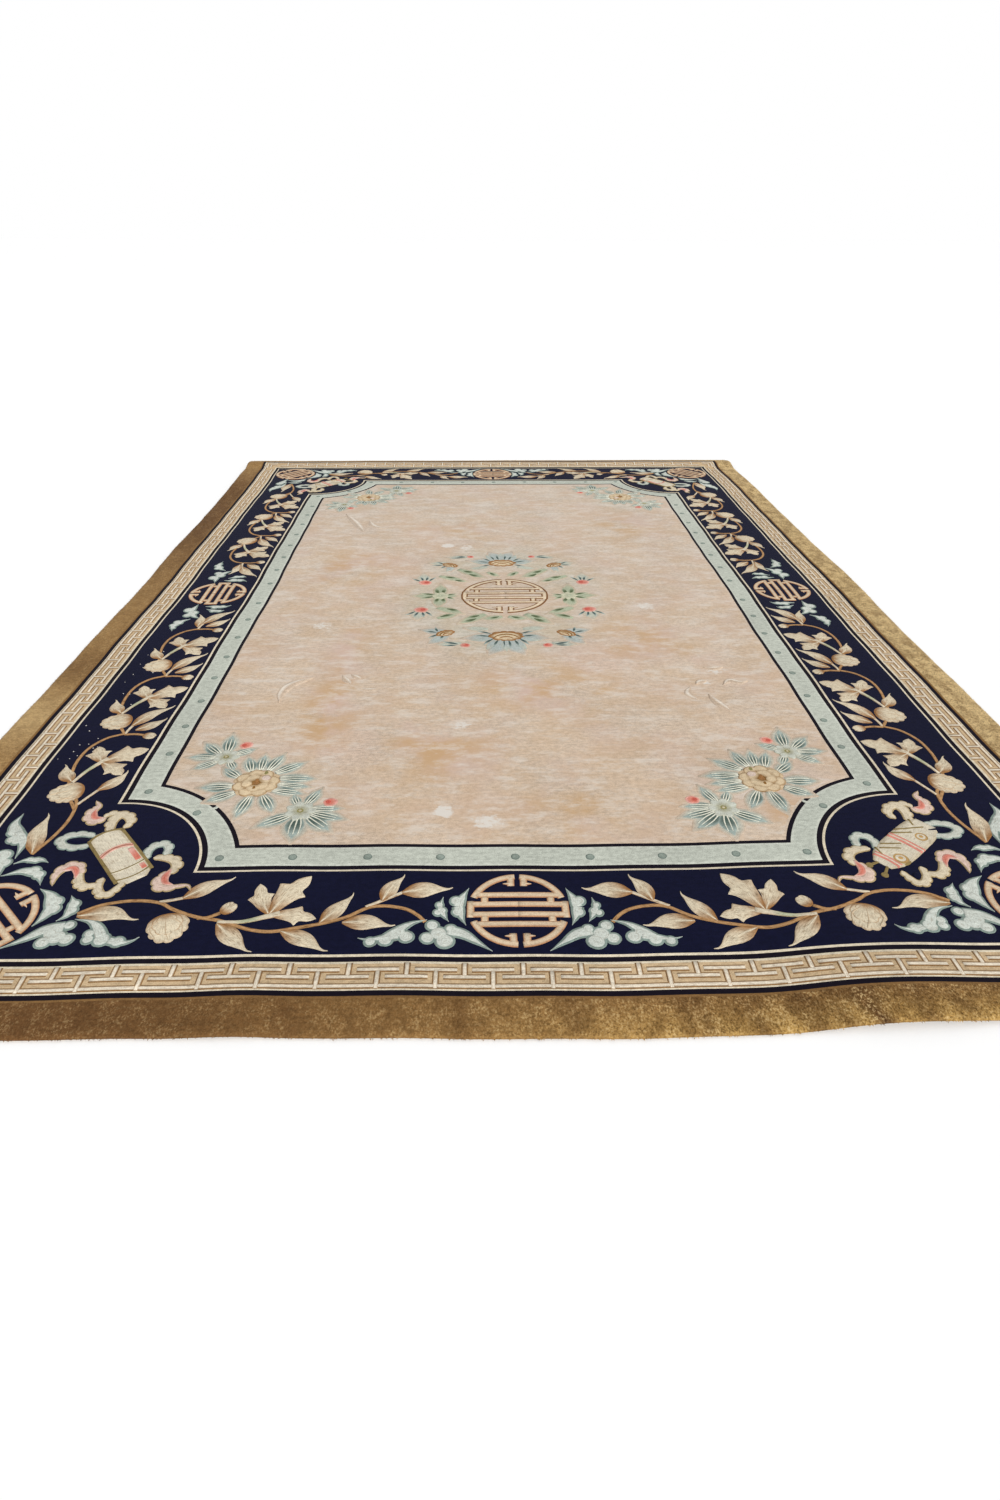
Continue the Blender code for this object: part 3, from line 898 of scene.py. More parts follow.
def field_leaf(nap, spot, base, tip, half_width, dark=SLATE_DARK, pale=SLATE_PALE, veins=True):
    """Draw a soft leaf of the field, dark at its heart and pale at its tip, with fine veins."""
    def shade(across, along):
        heart = (1.0 - ramp(along, 0.35, 0.90)) * (1.0 - ramp(np.abs(across), 0.50, 1.0))
        return mix(pale, dark, heart)
    path = bent(base, tip, RANDOM.uniform(-0.06, 0.06))
    if not veins:
        strip(nap, spot, path, half_width * SPEAR_SHAPE, shade, FIELD_RISE, steps=14)
        return
    base, tip = vectors(base, tip)
    along = tip - base
    mist(nap, spot, base, base + 1.22 * along, 1.6 * half_width, mix(pale, HALO, 0.5))
    strip(nap, spot, path, half_width * SPEAR_SHAPE, shade, 1.2 * FIELD_RISE, steps=14)
    aside = half_width * np.array([-along[1], along[0]]) / math.hypot(*along)
    for side in (-0.5, 0.0, 0.5):
        start = base + 0.02 * along + 0.45 * side * aside
        end = base + 0.80 * along + 0.9 * side * aside
        middle = 0.5 * (start + end) + 0.3 * side * aside
        strip(nap, spot, [start, middle, end], VEIN_WIDTHS, VEIN, VEIN_RISE, steps=6, strokes=0.0)


def mist(nap, spot, base, tip, half_width, tone):
    """Draw a soft leaf of mist that fades into the field."""
    base, tip = vectors(base, tip)
    def shade(across, along):
        return mix(tone, FIELD_NEAR, ramp(np.abs(across), 0.35, 1.0) + 0.8 * ramp(along, 0.55, 1.0))
    strip(nap, spot, [base, 0.5 * (base + tip), tip], half_width * MIST_SHAPE, shade,
          rise=0.6 * FIELD_RISE, steps=8)


# Rings of a peony's petals: their distance as a share of its radius, height and turns. Then
# its hearts and seeds, each with its place in shares of the radius and its dye
PEONY_RINGS = (
    (0.66, 0.0022, (10, 62, 100, 148, 200, 245, 290, 335)),
    (0.36, 0.0026, (35, 120, 185, 265, 320)),
)
PEONY_HEARTS = ((-0.36, -0.08, 0.25, PETAL), (0.34, 0.30, 0.23, PETAL_PINK))
PEONY_SEEDS = ((-0.02, -0.34, PEONY_BROWN), (0.00, 0.16, LEAF_TAN), (0.28, 0.68, OLIVE))


def field_peony(nap, spot, radius):
    """Draw a tan peony of the field: brown-edged petals that close on two pale hearts."""
    def base(ring, angle):
        pale = 0.80 * ramp(ring, 0.50, 0.85) - 0.4 * ramp(ring, 0.92, 1.0)
        return mix(LEAF_TAN, PETAL, pale)
    patch(nap, spot, scallops(radius, 11, 0.16), base, rise=0.0018, steps=66)
    def petal(ring, angle):
        heel = ramp(-np.cos(angle) * ring, -0.1, 0.9)
        return mix(PETAL, PEONY_BROWN, 0.75 * heel + 0.80 * ramp(ring, 0.72, 0.93))
    for share, rise, turns in PEONY_RINGS:
        for turn in turns:
            angle = math.radians(turn)
            own = spot.at(share * radius * math.cos(angle), share * radius * math.sin(angle), turn)
            patch(nap, own, scallops(0.29 * radius, 3, 0.10, 1.25), petal, rise, steps=24)
    for x, y, size, tone in PEONY_HEARTS:
        patch(nap, spot.at(x * radius, y * radius), scallops(size * radius, 5, 0.1),
              two_tone(tone, PEONY_BROWN, 0.84), rise=0.0031, steps=24)
    for x, y, tone in PEONY_SEEDS:
        outline = scallops(0.09 * radius, 3, 0.2, 1.6)
        patch(nap, spot.at(x * radius, y * radius), outline, tone, rise=0.0031, steps=14)


def star_flower(nap, spot, radius, heart=OLIVE, petal_dye=MINT_LIGHT):
    """Draw a small flower of seven pale petals round its heart."""
    def petal(across, along):
        edge = 0.45 * ramp(np.abs(across), 0.55, 1.0)
        return mix(petal_dye, heart, 0.55 * (1.0 - ramp(along, 0.1, 0.6)) + edge)
    for number in range(7):
        angle = math.tau * number / 7
        way = radius * np.array([math.cos(angle), math.sin(angle)])
        strip(nap, spot, [0.15 * way, 0.6 * way, way], 0.40 * radius * PETAL_SHAPE, petal,
              rise=0.0019, steps=8)
    patch(nap, spot, scallops(0.30 * radius, 5, 0.1), heart, rise=0.0023, steps=16)
    patch(nap, spot, scallops(0.16 * radius, 5, 0.1), mix(heart, CREAM, 0.7), rise=0.0026, steps=12)


def coral_bud(nap, spot, radius):
    """Draw a coral bud with a deeper heart."""
    def shade(ring, angle):
        return mix(CORAL, CORAL_PALE, ramp(ring, 0.45, 0.95) + 0.2 * np.cos(angle))
    patch(nap, spot, scallops(radius, 5, 0.12, 0.9), shade, rise=0.0013, steps=26)
    heart = spot.at(-0.2 * radius, 0.1 * radius)
    patch(nap, heart, scallops(0.42 * radius, 3, 0.1), CORAL_DEEP, rise=0.0016, steps=14)


# The corner spray of the field's near left quarter, its leaves from base to tip
SPRAY_STARS = ((-0.735, -1.113, 0.034), (-0.503, -1.348, 0.037))
SPRAY_BUDS = ((-0.697, -1.056, 40), (-0.437, -1.312, 20))
SPRAY_BUD_RADIUS = 0.019
SPRAY_PEONY = (-0.632, -1.232)
SPRAY_PEONY_RADIUS = 0.062
SPRAY_LEAF_SWELL = 1.18
SprayLeaf = namedtuple("SprayLeaf", "base tip half_width")
SPRAY_LEAVES = (
    SprayLeaf((-0.635, -1.285), (-0.650, -1.368), 0.0150),
    SprayLeaf((-0.606, -1.283), (-0.570, -1.350), 0.0150),
    SprayLeaf((-0.588, -1.262), (-0.510, -1.280), 0.0140),
    SprayLeaf((-0.580, -1.238), (-0.500, -1.250), 0.0130),
    SprayLeaf((-0.578, -1.212), (-0.492, -1.215), 0.0160),
    SprayLeaf((-0.592, -1.190), (-0.528, -1.145), 0.0160),
    SprayLeaf((-0.612, -1.178), (-0.588, -1.108), 0.0150),
    SprayLeaf((-0.632, -1.175), (-0.635, -1.108), 0.0140),
    SprayLeaf((-0.655, -1.180), (-0.676, -1.118), 0.0145),
    SprayLeaf((-0.680, -1.205), (-0.725, -1.165), 0.0145),
    SprayLeaf((-0.688, -1.242), (-0.765, -1.248), 0.0165),
    SprayLeaf((-0.676, -1.270), (-0.735, -1.305), 0.0150),
    SprayLeaf((-0.738, -1.090), (-0.745, -1.006), 0.0170),
    SprayLeaf((-0.755, -1.098), (-0.806, -1.046), 0.0150),
    SprayLeaf((-0.758, -1.113), (-0.830, -1.112), 0.0140),
    SprayLeaf((-0.752, -1.130), (-0.802, -1.165), 0.0140),
    SprayLeaf((-0.716, -1.102), (-0.670, -1.076), 0.0130),
    SprayLeaf((-0.722, -1.132), (-0.700, -1.172), 0.0110),
    SprayLeaf((-0.495, -1.325), (-0.468, -1.262), 0.0130),
    SprayLeaf((-0.512, -1.328), (-0.532, -1.282), 0.0110),
    SprayLeaf((-0.503, -1.368), (-0.504, -1.452), 0.0210),
    SprayLeaf((-0.520, -1.362), (-0.592, -1.405), 0.0170),
    SprayLeaf((-0.486, -1.364), (-0.424, -1.420), 0.0190),
    SprayLeaf((-0.482, -1.352), (-0.398, -1.378), 0.0150),
    SprayLeaf((-0.482, -1.340), (-0.412, -1.338), 0.0130),
)


def corner_spray(nap, quarter):
    """Draw the flowers in one corner of the field."""
    for each in SPRAY_LEAVES:
        field_leaf(nap, quarter, each.base, each.tip, SPRAY_LEAF_SWELL * each.half_width)
    field_peony(nap, quarter.at(*SPRAY_PEONY), SPRAY_PEONY_RADIUS)
    for x, y, radius in SPRAY_STARS:
        star_flower(nap, quarter.at(x, y), radius)
    for x, y, turn in SPRAY_BUDS:
        coral_bud(nap, quarter.at(x, y, turn), SPRAY_BUD_RADIUS)


# The right half of the wreath round the field's medallion; the left half mirrors it
WREATH_X = 0.010
Ray = namedtuple("Ray", "base tip half_width tones")
SLATES = (RAY_DARK, SLATE_PALE)
GREENS = (GREEN_DEEP, GREEN_PALE)
MISTS = (MIST, HALO)
Mist = namedtuple("Mist", "base tip half_width tone")
WREATH_MISTS = (
    Mist((0.175, 0.236), (0.060, 0.136), 0.0300, GREEN_PALE),
    Mist((0.250, 0.162), (0.130, 0.098), 0.0280, GREEN_PALE),
    Mist((0.060, 0.205), (0.010, 0.150), 0.0220, GREEN_PALE),
    Mist((0.245, -0.146), (0.140, -0.208), 0.0290, GREEN_PALE),
    Mist((0.238, -0.240), (0.160, -0.200), 0.0260, GREEN_PALE),
    Mist((0.070, -0.204), (0.170, -0.292), 0.0330, GREEN_PALE),
    Mist((0.010, -0.226), (0.090, -0.250), 0.0260, GREEN_PALE),
    Mist((0.239, -0.040), (0.243, 0.085), 0.0330, GREEN_PALE),
    Mist((0.239, -0.040), (0.243, -0.150), 0.0330, GREEN_PALE),
    Mist((0.240, -0.037), (0.355, -0.037), 0.0320, GREEN_PALE),
    Mist((0.235, -0.037), (0.165, -0.042), 0.0220, GREEN_PALE),
    Mist((0.305, 0.085), (0.312, 0.200), 0.0380, HALO),
    Mist((0.303, -0.155), (0.310, -0.262), 0.0380, HALO),
    Mist((0.190, -0.362), (0.300, -0.330), 0.0340, MIST),
    Mist((0.200, -0.375), (0.262, -0.450), 0.0340, MIST),
    Mist((0.150, -0.440), (0.240, -0.452), 0.0240, HALO),
    Mist((0.200, 0.290), (0.305, 0.306), 0.0320, HALO),
    Mist((0.210, 0.300), (0.205, 0.200), 0.0260, MIST),
    Mist((0.130, 0.378), (0.235, 0.366), 0.0240, HALO),
    Mist((0.000, 0.310), (0.150, 0.335), 0.0420, MIST),
    Mist((0.000, 0.330), (0.050, 0.440), 0.0440, MIST),
    Mist((0.000, -0.390), (0.155, -0.405), 0.0460, MIST),
    Mist((0.000, -0.410), (0.060, -0.530), 0.0460, MIST),
    Mist((0.060, 0.260), (0.145, 0.235), 0.0260, HALO),
    Mist((0.060, -0.330), (0.150, -0.320), 0.0280, HALO),
)
WREATH_RAYS = (
    Ray((0.050, 0.295), (0.125, 0.318), 0.0150, MISTS),
    Ray((0.000, 0.340), (0.000, 0.420), 0.0150, MISTS),
    Ray((0.040, 0.335), (0.062, 0.400), 0.0130, MISTS),
    Ray((0.012, 0.345), (0.016, 0.402), 0.0060, SLATES),
    Ray((0.030, 0.342), (0.046, 0.390), 0.0060, SLATES),
    Ray((0.048, 0.328), (0.082, 0.362), 0.0060, SLATES),
    Ray((0.050, 0.312), (0.108, 0.332), 0.0062, SLATES),
    Ray((0.052, 0.282), (0.092, 0.266), 0.0062, SLATES),
    Ray((0.050, -0.400), (0.120, -0.420), 0.0150, MISTS),
    Ray((0.000, -0.420), (0.000, -0.500), 0.0170, MISTS),
    Ray((0.040, -0.420), (0.066, -0.488), 0.0140, MISTS),
    Ray((0.008, -0.420), (0.011, -0.482), 0.0065, SLATES),
    Ray((0.028, -0.418), (0.042, -0.470), 0.0065, SLATES),
    Ray((0.045, -0.408), (0.076, -0.452), 0.0068, SLATES),
    Ray((0.055, -0.388), (0.112, -0.380), 0.0068, SLATES),
    Ray((0.052, -0.366), (0.100, -0.346), 0.0062, SLATES),
    Ray((0.232, -0.348), (0.240, -0.312), 0.0058, SLATES),
    Ray((0.236, -0.356), (0.280, -0.344), 0.0062, SLATES),
    Ray((0.230, -0.372), (0.262, -0.400), 0.0065, SLATES),
    Ray((0.212, -0.380), (0.222, -0.412), 0.0060, SLATES),
    Ray((0.160, -0.448), (0.215, -0.424), 0.0075, SLATES),
    Ray((0.165, -0.455), (0.212, -0.458), 0.0060, SLATES),
    Ray((0.235, 0.292), (0.270, 0.318), 0.0060, SLATES),
    Ray((0.238, 0.282), (0.284, 0.280), 0.0060, SLATES),
    Ray((0.228, 0.270), (0.246, 0.244), 0.0060, SLATES),
    Ray((0.205, 0.262), (0.222, 0.208), 0.0130, MISTS),
    Ray((0.148, 0.374), (0.212, 0.356), 0.0075, SLATES),
    Ray((0.150, 0.380), (0.190, 0.390), 0.0055, SLATES),
    Ray((0.155, 0.218), (0.105, 0.186), 0.0125, GREENS),
    Ray((0.132, 0.182), (0.084, 0.148), 0.0120, GREENS),
    Ray((0.226, 0.152), (0.172, 0.132), 0.0115, GREENS),
    Ray((0.188, 0.120), (0.146, 0.102), 0.0105, GREENS),
    Ray((0.050, 0.196), (0.030, 0.156), 0.0090, GREENS),
    Ray((0.288, 0.110), (0.262, 0.150), 0.0058, SLATES),
    Ray((0.300, 0.115), (0.294, 0.162), 0.0058, SLATES),
    Ray((0.312, 0.114), (0.324, 0.158), 0.0058, SLATES),
    Ray((0.322, 0.106), (0.356, 0.138), 0.0058, SLATES),
    Ray((0.284, -0.182), (0.258, -0.218), 0.0058, SLATES),
    Ray((0.296, -0.186), (0.286, -0.232), 0.0058, SLATES),
    Ray((0.310, -0.186), (0.320, -0.230), 0.0058, SLATES),
    Ray((0.322, -0.180), (0.356, -0.212), 0.0058, SLATES),
    Ray((0.232, -0.018), (0.222, 0.040), 0.0095, GREENS),
    Ray((0.247, -0.018), (0.256, 0.045), 0.0095, GREENS),
    Ray((0.262, -0.028), (0.316, -0.012), 0.0085, GREENS),
    Ray((0.262, -0.045), (0.312, -0.066), 0.0085, GREENS),
    Ray((0.247, -0.060), (0.258, -0.112), 0.0095, GREENS),
    Ray((0.230, -0.060), (0.218, -0.106), 0.0095, GREENS),
    Ray((0.216, -0.032), (0.176, -0.018), 0.0070, GREENS),
    Ray((0.216, -0.048), (0.184, -0.070), 0.0070, GREENS),
    Ray((0.210, -0.156), (0.158, -0.188), 0.0115, GREENS),
    Ray((0.228, -0.228), (0.172, -0.202), 0.0115, GREENS),
    Ray((0.092, -0.216), (0.138, -0.246), 0.0120, GREENS),
    Ray((0.102, -0.244), (0.152, -0.280), 0.0120, GREENS),
    Ray((0.022, -0.226), (0.068, -0.244), 0.0100, GREENS),
)


SIDE_PEONIES = ((0.206, -0.362, -30), (0.210, 0.282, 30))
SIDE_PEONY_RADIUS = 0.037
SIDE_STAR = (0.239, -0.038)
SIDE_STAR_RADIUS = 0.032
WREATH_BUDS = ((0.304, 0.094, 0.027), (0.302, -0.165, 0.028), (0.136, -0.456, 0.018), (0.127, 0.378, 0.016))
FAR_PEONY_Y = 0.304
NEAR_PEONY_Y = -0.384

# Hoods of a wreath's peony: their size and drop as shares of its radius, and their dye.
# Each follows the same arch
HOODS = ((0.94, 0.0, LEAF_TAN), (0.66, -0.12, PEONY_BROWN), (0.36, -0.26, LEAF_TAN))
HOOD_ARCH = ((-1.0, -0.30), (-0.62, 0.55), (0.0, 0.95), (0.62, 0.55), (1.0, -0.30))
HOOD_HALF_WIDTH = 0.0042


def wreath_peony(nap, spot, radius):
    """Draw a peony of the wreath: hoods of brown folds arched over a pale heart."""
    patch(nap, spot, scallops(radius, 9, 0.12, 0.66), two_tone(PETAL, LEAF_TAN, 0.72), rise=0.0009, steps=54)
    for size, drop, dark in HOODS:
        points = [(size * radius * x, radius * (0.50 * size * y + drop)) for x, y in HOOD_ARCH]
        strip(nap, spot, points, HOOD_HALF_WIDTH * HOOD_SHAPE, dark, rise=0.0013, steps=18)


def wreath(nap):
    """Draw the wreath round the field's medallion."""
    for side in (-1, 1):
        half = Spot((WREATH_X, 0.0), ((side, 0.0), (0.0, 1.0)))
        for each in WREATH_MISTS:
            mist(nap, half, *each)
        for each in WREATH_RAYS:
            field_leaf(nap, half, each.base, each.tip, each.half_width, *each.tones, veins=False)
        for x, y, turn in SIDE_PEONIES:
            wreath_peony(nap, half.at(x, y, turn), SIDE_PEONY_RADIUS)
        star_flower(nap, half.at(*SIDE_STAR), SIDE_STAR_RADIUS, GREEN_PALE, WREATH_CREAM)
        for x, y, radius in WREATH_BUDS:
            coral_bud(nap, half.at(x, y, 20), radius)
    wreath_peony(nap, WHOLE.at(WREATH_X, FAR_PEONY_Y), 0.062)
    wreath_peony(nap, WHOLE.at(WREATH_X, NEAR_PEONY_Y, 180, flip=-1), 0.064)


FRILL = dye("#d3c6ac")
FRILL_RIM = dye("#a8946f")
FRILL_PINK = dye("#d6bdae")
FRILL_HEM = 0.0026
Ribbon = namedtuple("Ribbon", "path widths lobes side body rim")
RIBBONS = (
    Ribbon(((-0.922, -1.414), (-0.930, -1.380), (-0.921, -1.354), (-0.901, -1.359), (-0.889, -1.381),
            (-0.896, -1.403)),
           (0.0110, 0.0160, 0.0175, 0.0165, 0.0145, 0.0090), 7, 1, FRILL, FRILL_RIM),
    Ribbon(((-0.920, -1.352), (-0.942, -1.347), (-0.957, -1.360)),
           (0.0120, 0.0130, 0.0070), 3, -1, FRILL, FRILL_RIM),
    Ribbon(((-0.950, -1.362), (-0.970, -1.375), (-0.988, -1.363), (-0.993, -1.340), (-0.985, -1.316),
            (-1.000, -1.296)),
           (0.0080, 0.0160, 0.0175, 0.0155, 0.0100, 0.0025), 6, 1, FRILL_PINK, FRILL_RIM),
    Ribbon(((-0.950, -1.431), (-0.980, -1.423), (-1.010, -1.430), (-1.021, -1.446), (-1.008, -1.463),
            (-0.980, -1.469), (-0.950, -1.461)),
           (0.0100, 0.0125, 0.0135, 0.0150, 0.0135, 0.0125, 0.0100), 7, -1, MINT_LIGHT, CLOUD_RIM),
    Ribbon(((-0.976, -1.594), (-0.982, -1.566), (-0.977, -1.542), (-0.958, -1.530), (-0.941, -1.539),
            (-0.933, -1.562)),
           (0.0025, 0.0100, 0.0150, 0.0165, 0.0145, 0.0110), 6, 1, FRILL_PINK, FRILL_RIM),
    Ribbon(((-0.934, -1.554), (-0.925, -1.582), (-0.908, -1.597), (-0.884, -1.592)),
           (0.0100, 0.0145, 0.0150, 0.0090), 5, -1, FRILL, FRILL_RIM),
    Ribbon(((-0.879, -1.572), (-0.878, -1.600), (-0.864, -1.622), (-0.848, -1.622), (-0.837, -1.604),
            (-0.831, -1.586)),
           (0.0095, 0.0120, 0.0130, 0.0130, 0.0115, 0.0085), 7, -1, FRILL, FRILL_RIM),
    Ribbon(((-0.806, -1.513), (-0.812, -1.488), (-0.802, -1.469), (-0.782, -1.465), (-0.771, -1.481),
            (-0.773, -1.502)),
           (0.0090, 0.0125, 0.0140, 0.0140, 0.0130, 0.0100), 6, 1, MINT_LIGHT, CLOUD_RIM),
    Ribbon(((-0.794, -1.511), (-0.768, -1.512), (-0.746, -1.521), (-0.736, -1.541), (-0.745, -1.564)),
           (0.0085, 0.0140, 0.0160, 0.0150, 0.0100), 5, 1, FRILL, FRILL_RIM),
    Ribbon(((-0.744, -1.556), (-0.757, -1.583), (-0.752, -1.603), (-0.732, -1.608), (-0.706, -1.601),
            (-0.690, -1.602), (-0.681, -1.617)),
           (0.0100, 0.0155, 0.0160, 0.0135, 0.0090, 0.0060, 0.0020), 6, -1, FRILL_PINK, FRILL_RIM),
)


# The navy ground that shows through the ribbons' loops, and the coral folds inside them
HOLLOWS = (
    ((-0.904, -1.378), (-0.906, -1.391), 0.0068),
    ((-1.000, -1.444), (-0.953, -1.448), 0.0072),
    ((-0.861, -1.594), (-0.853, -1.610), 0.0080),
    ((-0.790, -1.482), (-0.798, -1.504), 0.0058),
)
FOLDS = (
    (((-0.957, -1.364), (-0.975, -1.364), (-0.984, -1.348), (-0.985, -1.328)), 0.0085),
    (((-0.974, -1.548), (-0.956, -1.539), (-0.943, -1.551), (-0.935, -1.576)), 0.0080),
    (((-0.742, -1.550), (-0.748, -1.574), (-0.741, -1.592), (-0.722, -1.600)), 0.0085),
)


def ribbon(nap, spot, points, widths, lobes, side, body, rim):
    """Draw a ribbon with round lobes down its left side, for a side of 1, or its right."""
    steps = 9 * lobes
    along = np.linspace(0.0, 1.0, steps + 1)
    half = np.interp(along, np.linspace(0.0, 1.0, len(widths)), widths)
    ends = np.sqrt(np.clip(np.minimum(along, 1.0 - along) / 0.06 + 0.15, 0.0, 1.0))
    lobed = 0.74 + 0.36 * np.sqrt(np.abs(np.sin(math.pi * lobes * along)))
    inner = edged(body, rim, 0.55, 1.0, 0.30)
    for drawn, grow, rise in ((rim, 0.0, 0.0013), (inner, -FRILL_HEM, 0.0019)):
        plain = np.maximum(0.82 * half * ends + grow, THINNEST)
        frilly = np.maximum(half * lobed * ends + grow, THINNEST)
        rows = (plain, frilly) if side > 0 else (frilly, plain)
        strip(nap, spot, points, rows, drawn, rise, steps=steps, strokes=0.5, vary=0.01)


def fold_shade(across, along):
    """Return the dye of the coral fold inside a ribbon, which fades to its sides and ends."""
    fade = 0.75 * np.abs(across) ** 1.5 + 0.9 * np.abs(2.0 * along - 1.0) ** 3
    return mix(mix(CORAL, CORAL_PALE, 1.1 * fade), FRILL_PINK, 1.2 * fade - 0.45)


def ribbons(nap, spot):
    """Draw the ribbons round a corner's treasure, on the near left quarter."""
    for each in RIBBONS:
        ribbon(nap, spot, *each)
    for start, end, half_width in HOLLOWS:
        strip(nap, spot, [start, end], half_width * HOLLOW_SHAPE, NAVY, rise=0.0027, steps=12, strokes=0.0)
    for points, half_width in FOLDS:
        strip(nap, spot, points, half_width * FOLD_SHAPE, fold_shade, rise=0.0026, steps=18, strokes=0.6)


BOX_LONG = 0.092
BOX_ACROSS = 0.039
BOX_CREAM = dye("#d2c9b4")
STRAP_EDGE = dye("#a2705a")
BOX_EDGE = dye("#87754b")

# Arched lines across the box: its two ends, the strap with its two pale threads, and the
# seam, each with its place along the box
BoxLine = namedtuple("BoxLine", "x bow reach colour half rise")
BOX_LINES = (
    BoxLine(0.004 - BOX_LONG, -0.012, BOX_ACROSS - 0.002, BOX_EDGE, 0.0045, 0.0030),
    BoxLine(BOX_LONG - 0.012, 0.009, BOX_ACROSS - 0.002, BOX_EDGE, 0.0030, 0.0030),
    BoxLine(-0.016, -0.014, BOX_ACROSS - 0.004, STRAP_EDGE, 0.0086, 0.0030),
    BoxLine(-0.0195, -0.014, BOX_ACROSS - 0.004, CORAL_PALE, 0.0026, 0.0033),
    BoxLine(-0.0115, -0.014, BOX_ACROSS - 0.004, CORAL_PALE, 0.0026, 0.0033),
    BoxLine(0.052, 0.004, BOX_ACROSS - 0.004, BOX_EDGE, 0.0042, 0.0030),
    BoxLine(0.054, 0.004, BOX_ACROSS - 0.004, BOX_CREAM, 0.0014, 0.0033),
)

# Coral patches on the box: where each starts and ends along it, and its half-width
BOX_LABELS = ((-0.008, 0.042, 0.0088), (0.059, 0.079, 0.0078))
BOX_LABEL_Y = 0.0255


def arched(nap, spot, x, bow, reach, colour, half, rise):
    """Draw a line across a box at a place along it, arched toward one end."""
    points = [(x + bow * (1.0 - (y / reach) ** 2), y) for y in np.linspace(-reach, reach, 7)]
    strip(nap, spot, points, half, colour, rise, steps=14)


def strapped_box(nap, spot):
    """Draw a round-ended box with its straps, its long way along the spot's own X."""
    half_x, half_y = BOX_LONG, BOX_ACROSS
    body = edged(BOX_CREAM, FRILL_RIM, 0.6, 1.0, 0.5)
    strip(nap, spot, [(-half_x - 0.011, 0.0), (half_x + 0.012, 0.0)], half_y * BOX_SHAPE, body,
          rise=0.0026, steps=30, crown=0.1)
    end = half_x - 0.004
    for edge in (-half_y + 0.0015, half_y - 0.0015):
        strip(nap, spot, [(-end, edge), (end, edge)], 0.0042, BOX_EDGE, rise=0.0029, steps=16)
    for each in BOX_LINES:
        arched(nap, spot, *each)
    def label(side, along):
        return mix(CORAL_PALE, CORAL, ramp(along, 0.0, 0.8) + 0.25 * side)
    for start, end, half in BOX_LABELS:
        strip(nap, spot, [(start, BOX_LABEL_Y), (end, BOX_LABEL_Y)], half, label, rise=0.0030, steps=10)


# The tied scrolls: lines of their edges, the rolled ends as x, y and radius, the rings of
# each end as shares of its radius, and the ties as x, half-width and reach
SCROLL_LINES = (
    ((0.031, 0.040), (0.088, -0.001)), ((0.014, 0.038), (0.050, 0.008)),
    ((-0.042, 0.036), (-0.006, 0.005)), ((-0.057, 0.030), (-0.023, -0.002)),
    ((0.092, 0.036), (0.078, 0.018)), ((-0.062, 0.038), (-0.080, 0.004)),
)
SCROLL_ACROSS = 0.043
SCROLL_TAN = dye("#b8945f")
SCROLL_ENDS = ((0.050, -0.014, 0.0185), (-0.057, -0.018, 0.0210))
SCROLL_RINGS = (
    (1.10, 0.0031, SCROLL_TAN, BOX_EDGE),
    (0.78, 0.0034, BOX_CREAM, TAN_DARK),
    (0.44, 0.0037, SCROLL_TAN, TAN_DARK),
)
SCROLL_TIES = ((0.004, 0.0100, 0.041), (-0.082, 0.0090, 0.030))
SCROLL_KNOBS = ((-0.127, 0.018), (-0.134, -0.020))


def scrolls(nap, spot):
    """Draw a bundle of two rolled scrolls tied with coral, along the spot's own X."""
    body = edged(BOX_CREAM, FRILL_RIM, 0.72, 1.0, 0.6)
    for knob in SCROLL_KNOBS:
        strip(nap, spot, [(-0.100, 0.5 * knob[1]), knob], [0.0030, 0.0040], BOX_EDGE, rise=0.0016, steps=8)
        patch(nap, spot.at(*knob), scallops(0.0085, 3, 0.1), BOX_EDGE, rise=0.0020, steps=16)
    strip(nap, spot, [(-0.104, 0.0), (0.106, 0.0)], SCROLL_ACROSS * SCROLL_SHAPE, body,
          rise=0.0026, steps=30, crown=0.1)
    for start, end in SCROLL_LINES:
        strip(nap, spot, [start, end], 0.0030, BOX_EDGE, rise=0.0032, steps=6)
    for x, y, radius in SCROLL_ENDS:
        for size, rise, inner, edge in SCROLL_RINGS:
            outline = scallops(size * radius, 5, 0.03)
            patch(nap, spot.at(x, y), outline, two_tone(inner, edge, 0.78), rise, steps=26)
    for x, half, reach in SCROLL_TIES:
        path = [(x, -reach), (x + 0.003, 0.0), (x, reach)]
        strip(nap, spot, path, half, mix(CORAL, CORAL_PALE, 0.35), rise=0.0036, steps=12)
        strip(nap, spot, path, 0.5 * half, BOX_CREAM, rise=0.0038, steps=12)


BOX_PLACE = (-0.871, -1.499, -51)
SCROLL_PLACE = (-0.878, -1.495, 139)


def treasures(nap):
    """Draw the treasure and its ribbons in each corner of the navy border."""
    for number, quarter in enumerate(QUARTERS):
        ribbons(nap, quarter)
        if number in (0, 3):
            strapped_box(nap, quarter.at(*BOX_PLACE))
        else:
            scrolls(nap, quarter.at(*SCROLL_PLACE, flip=-1))


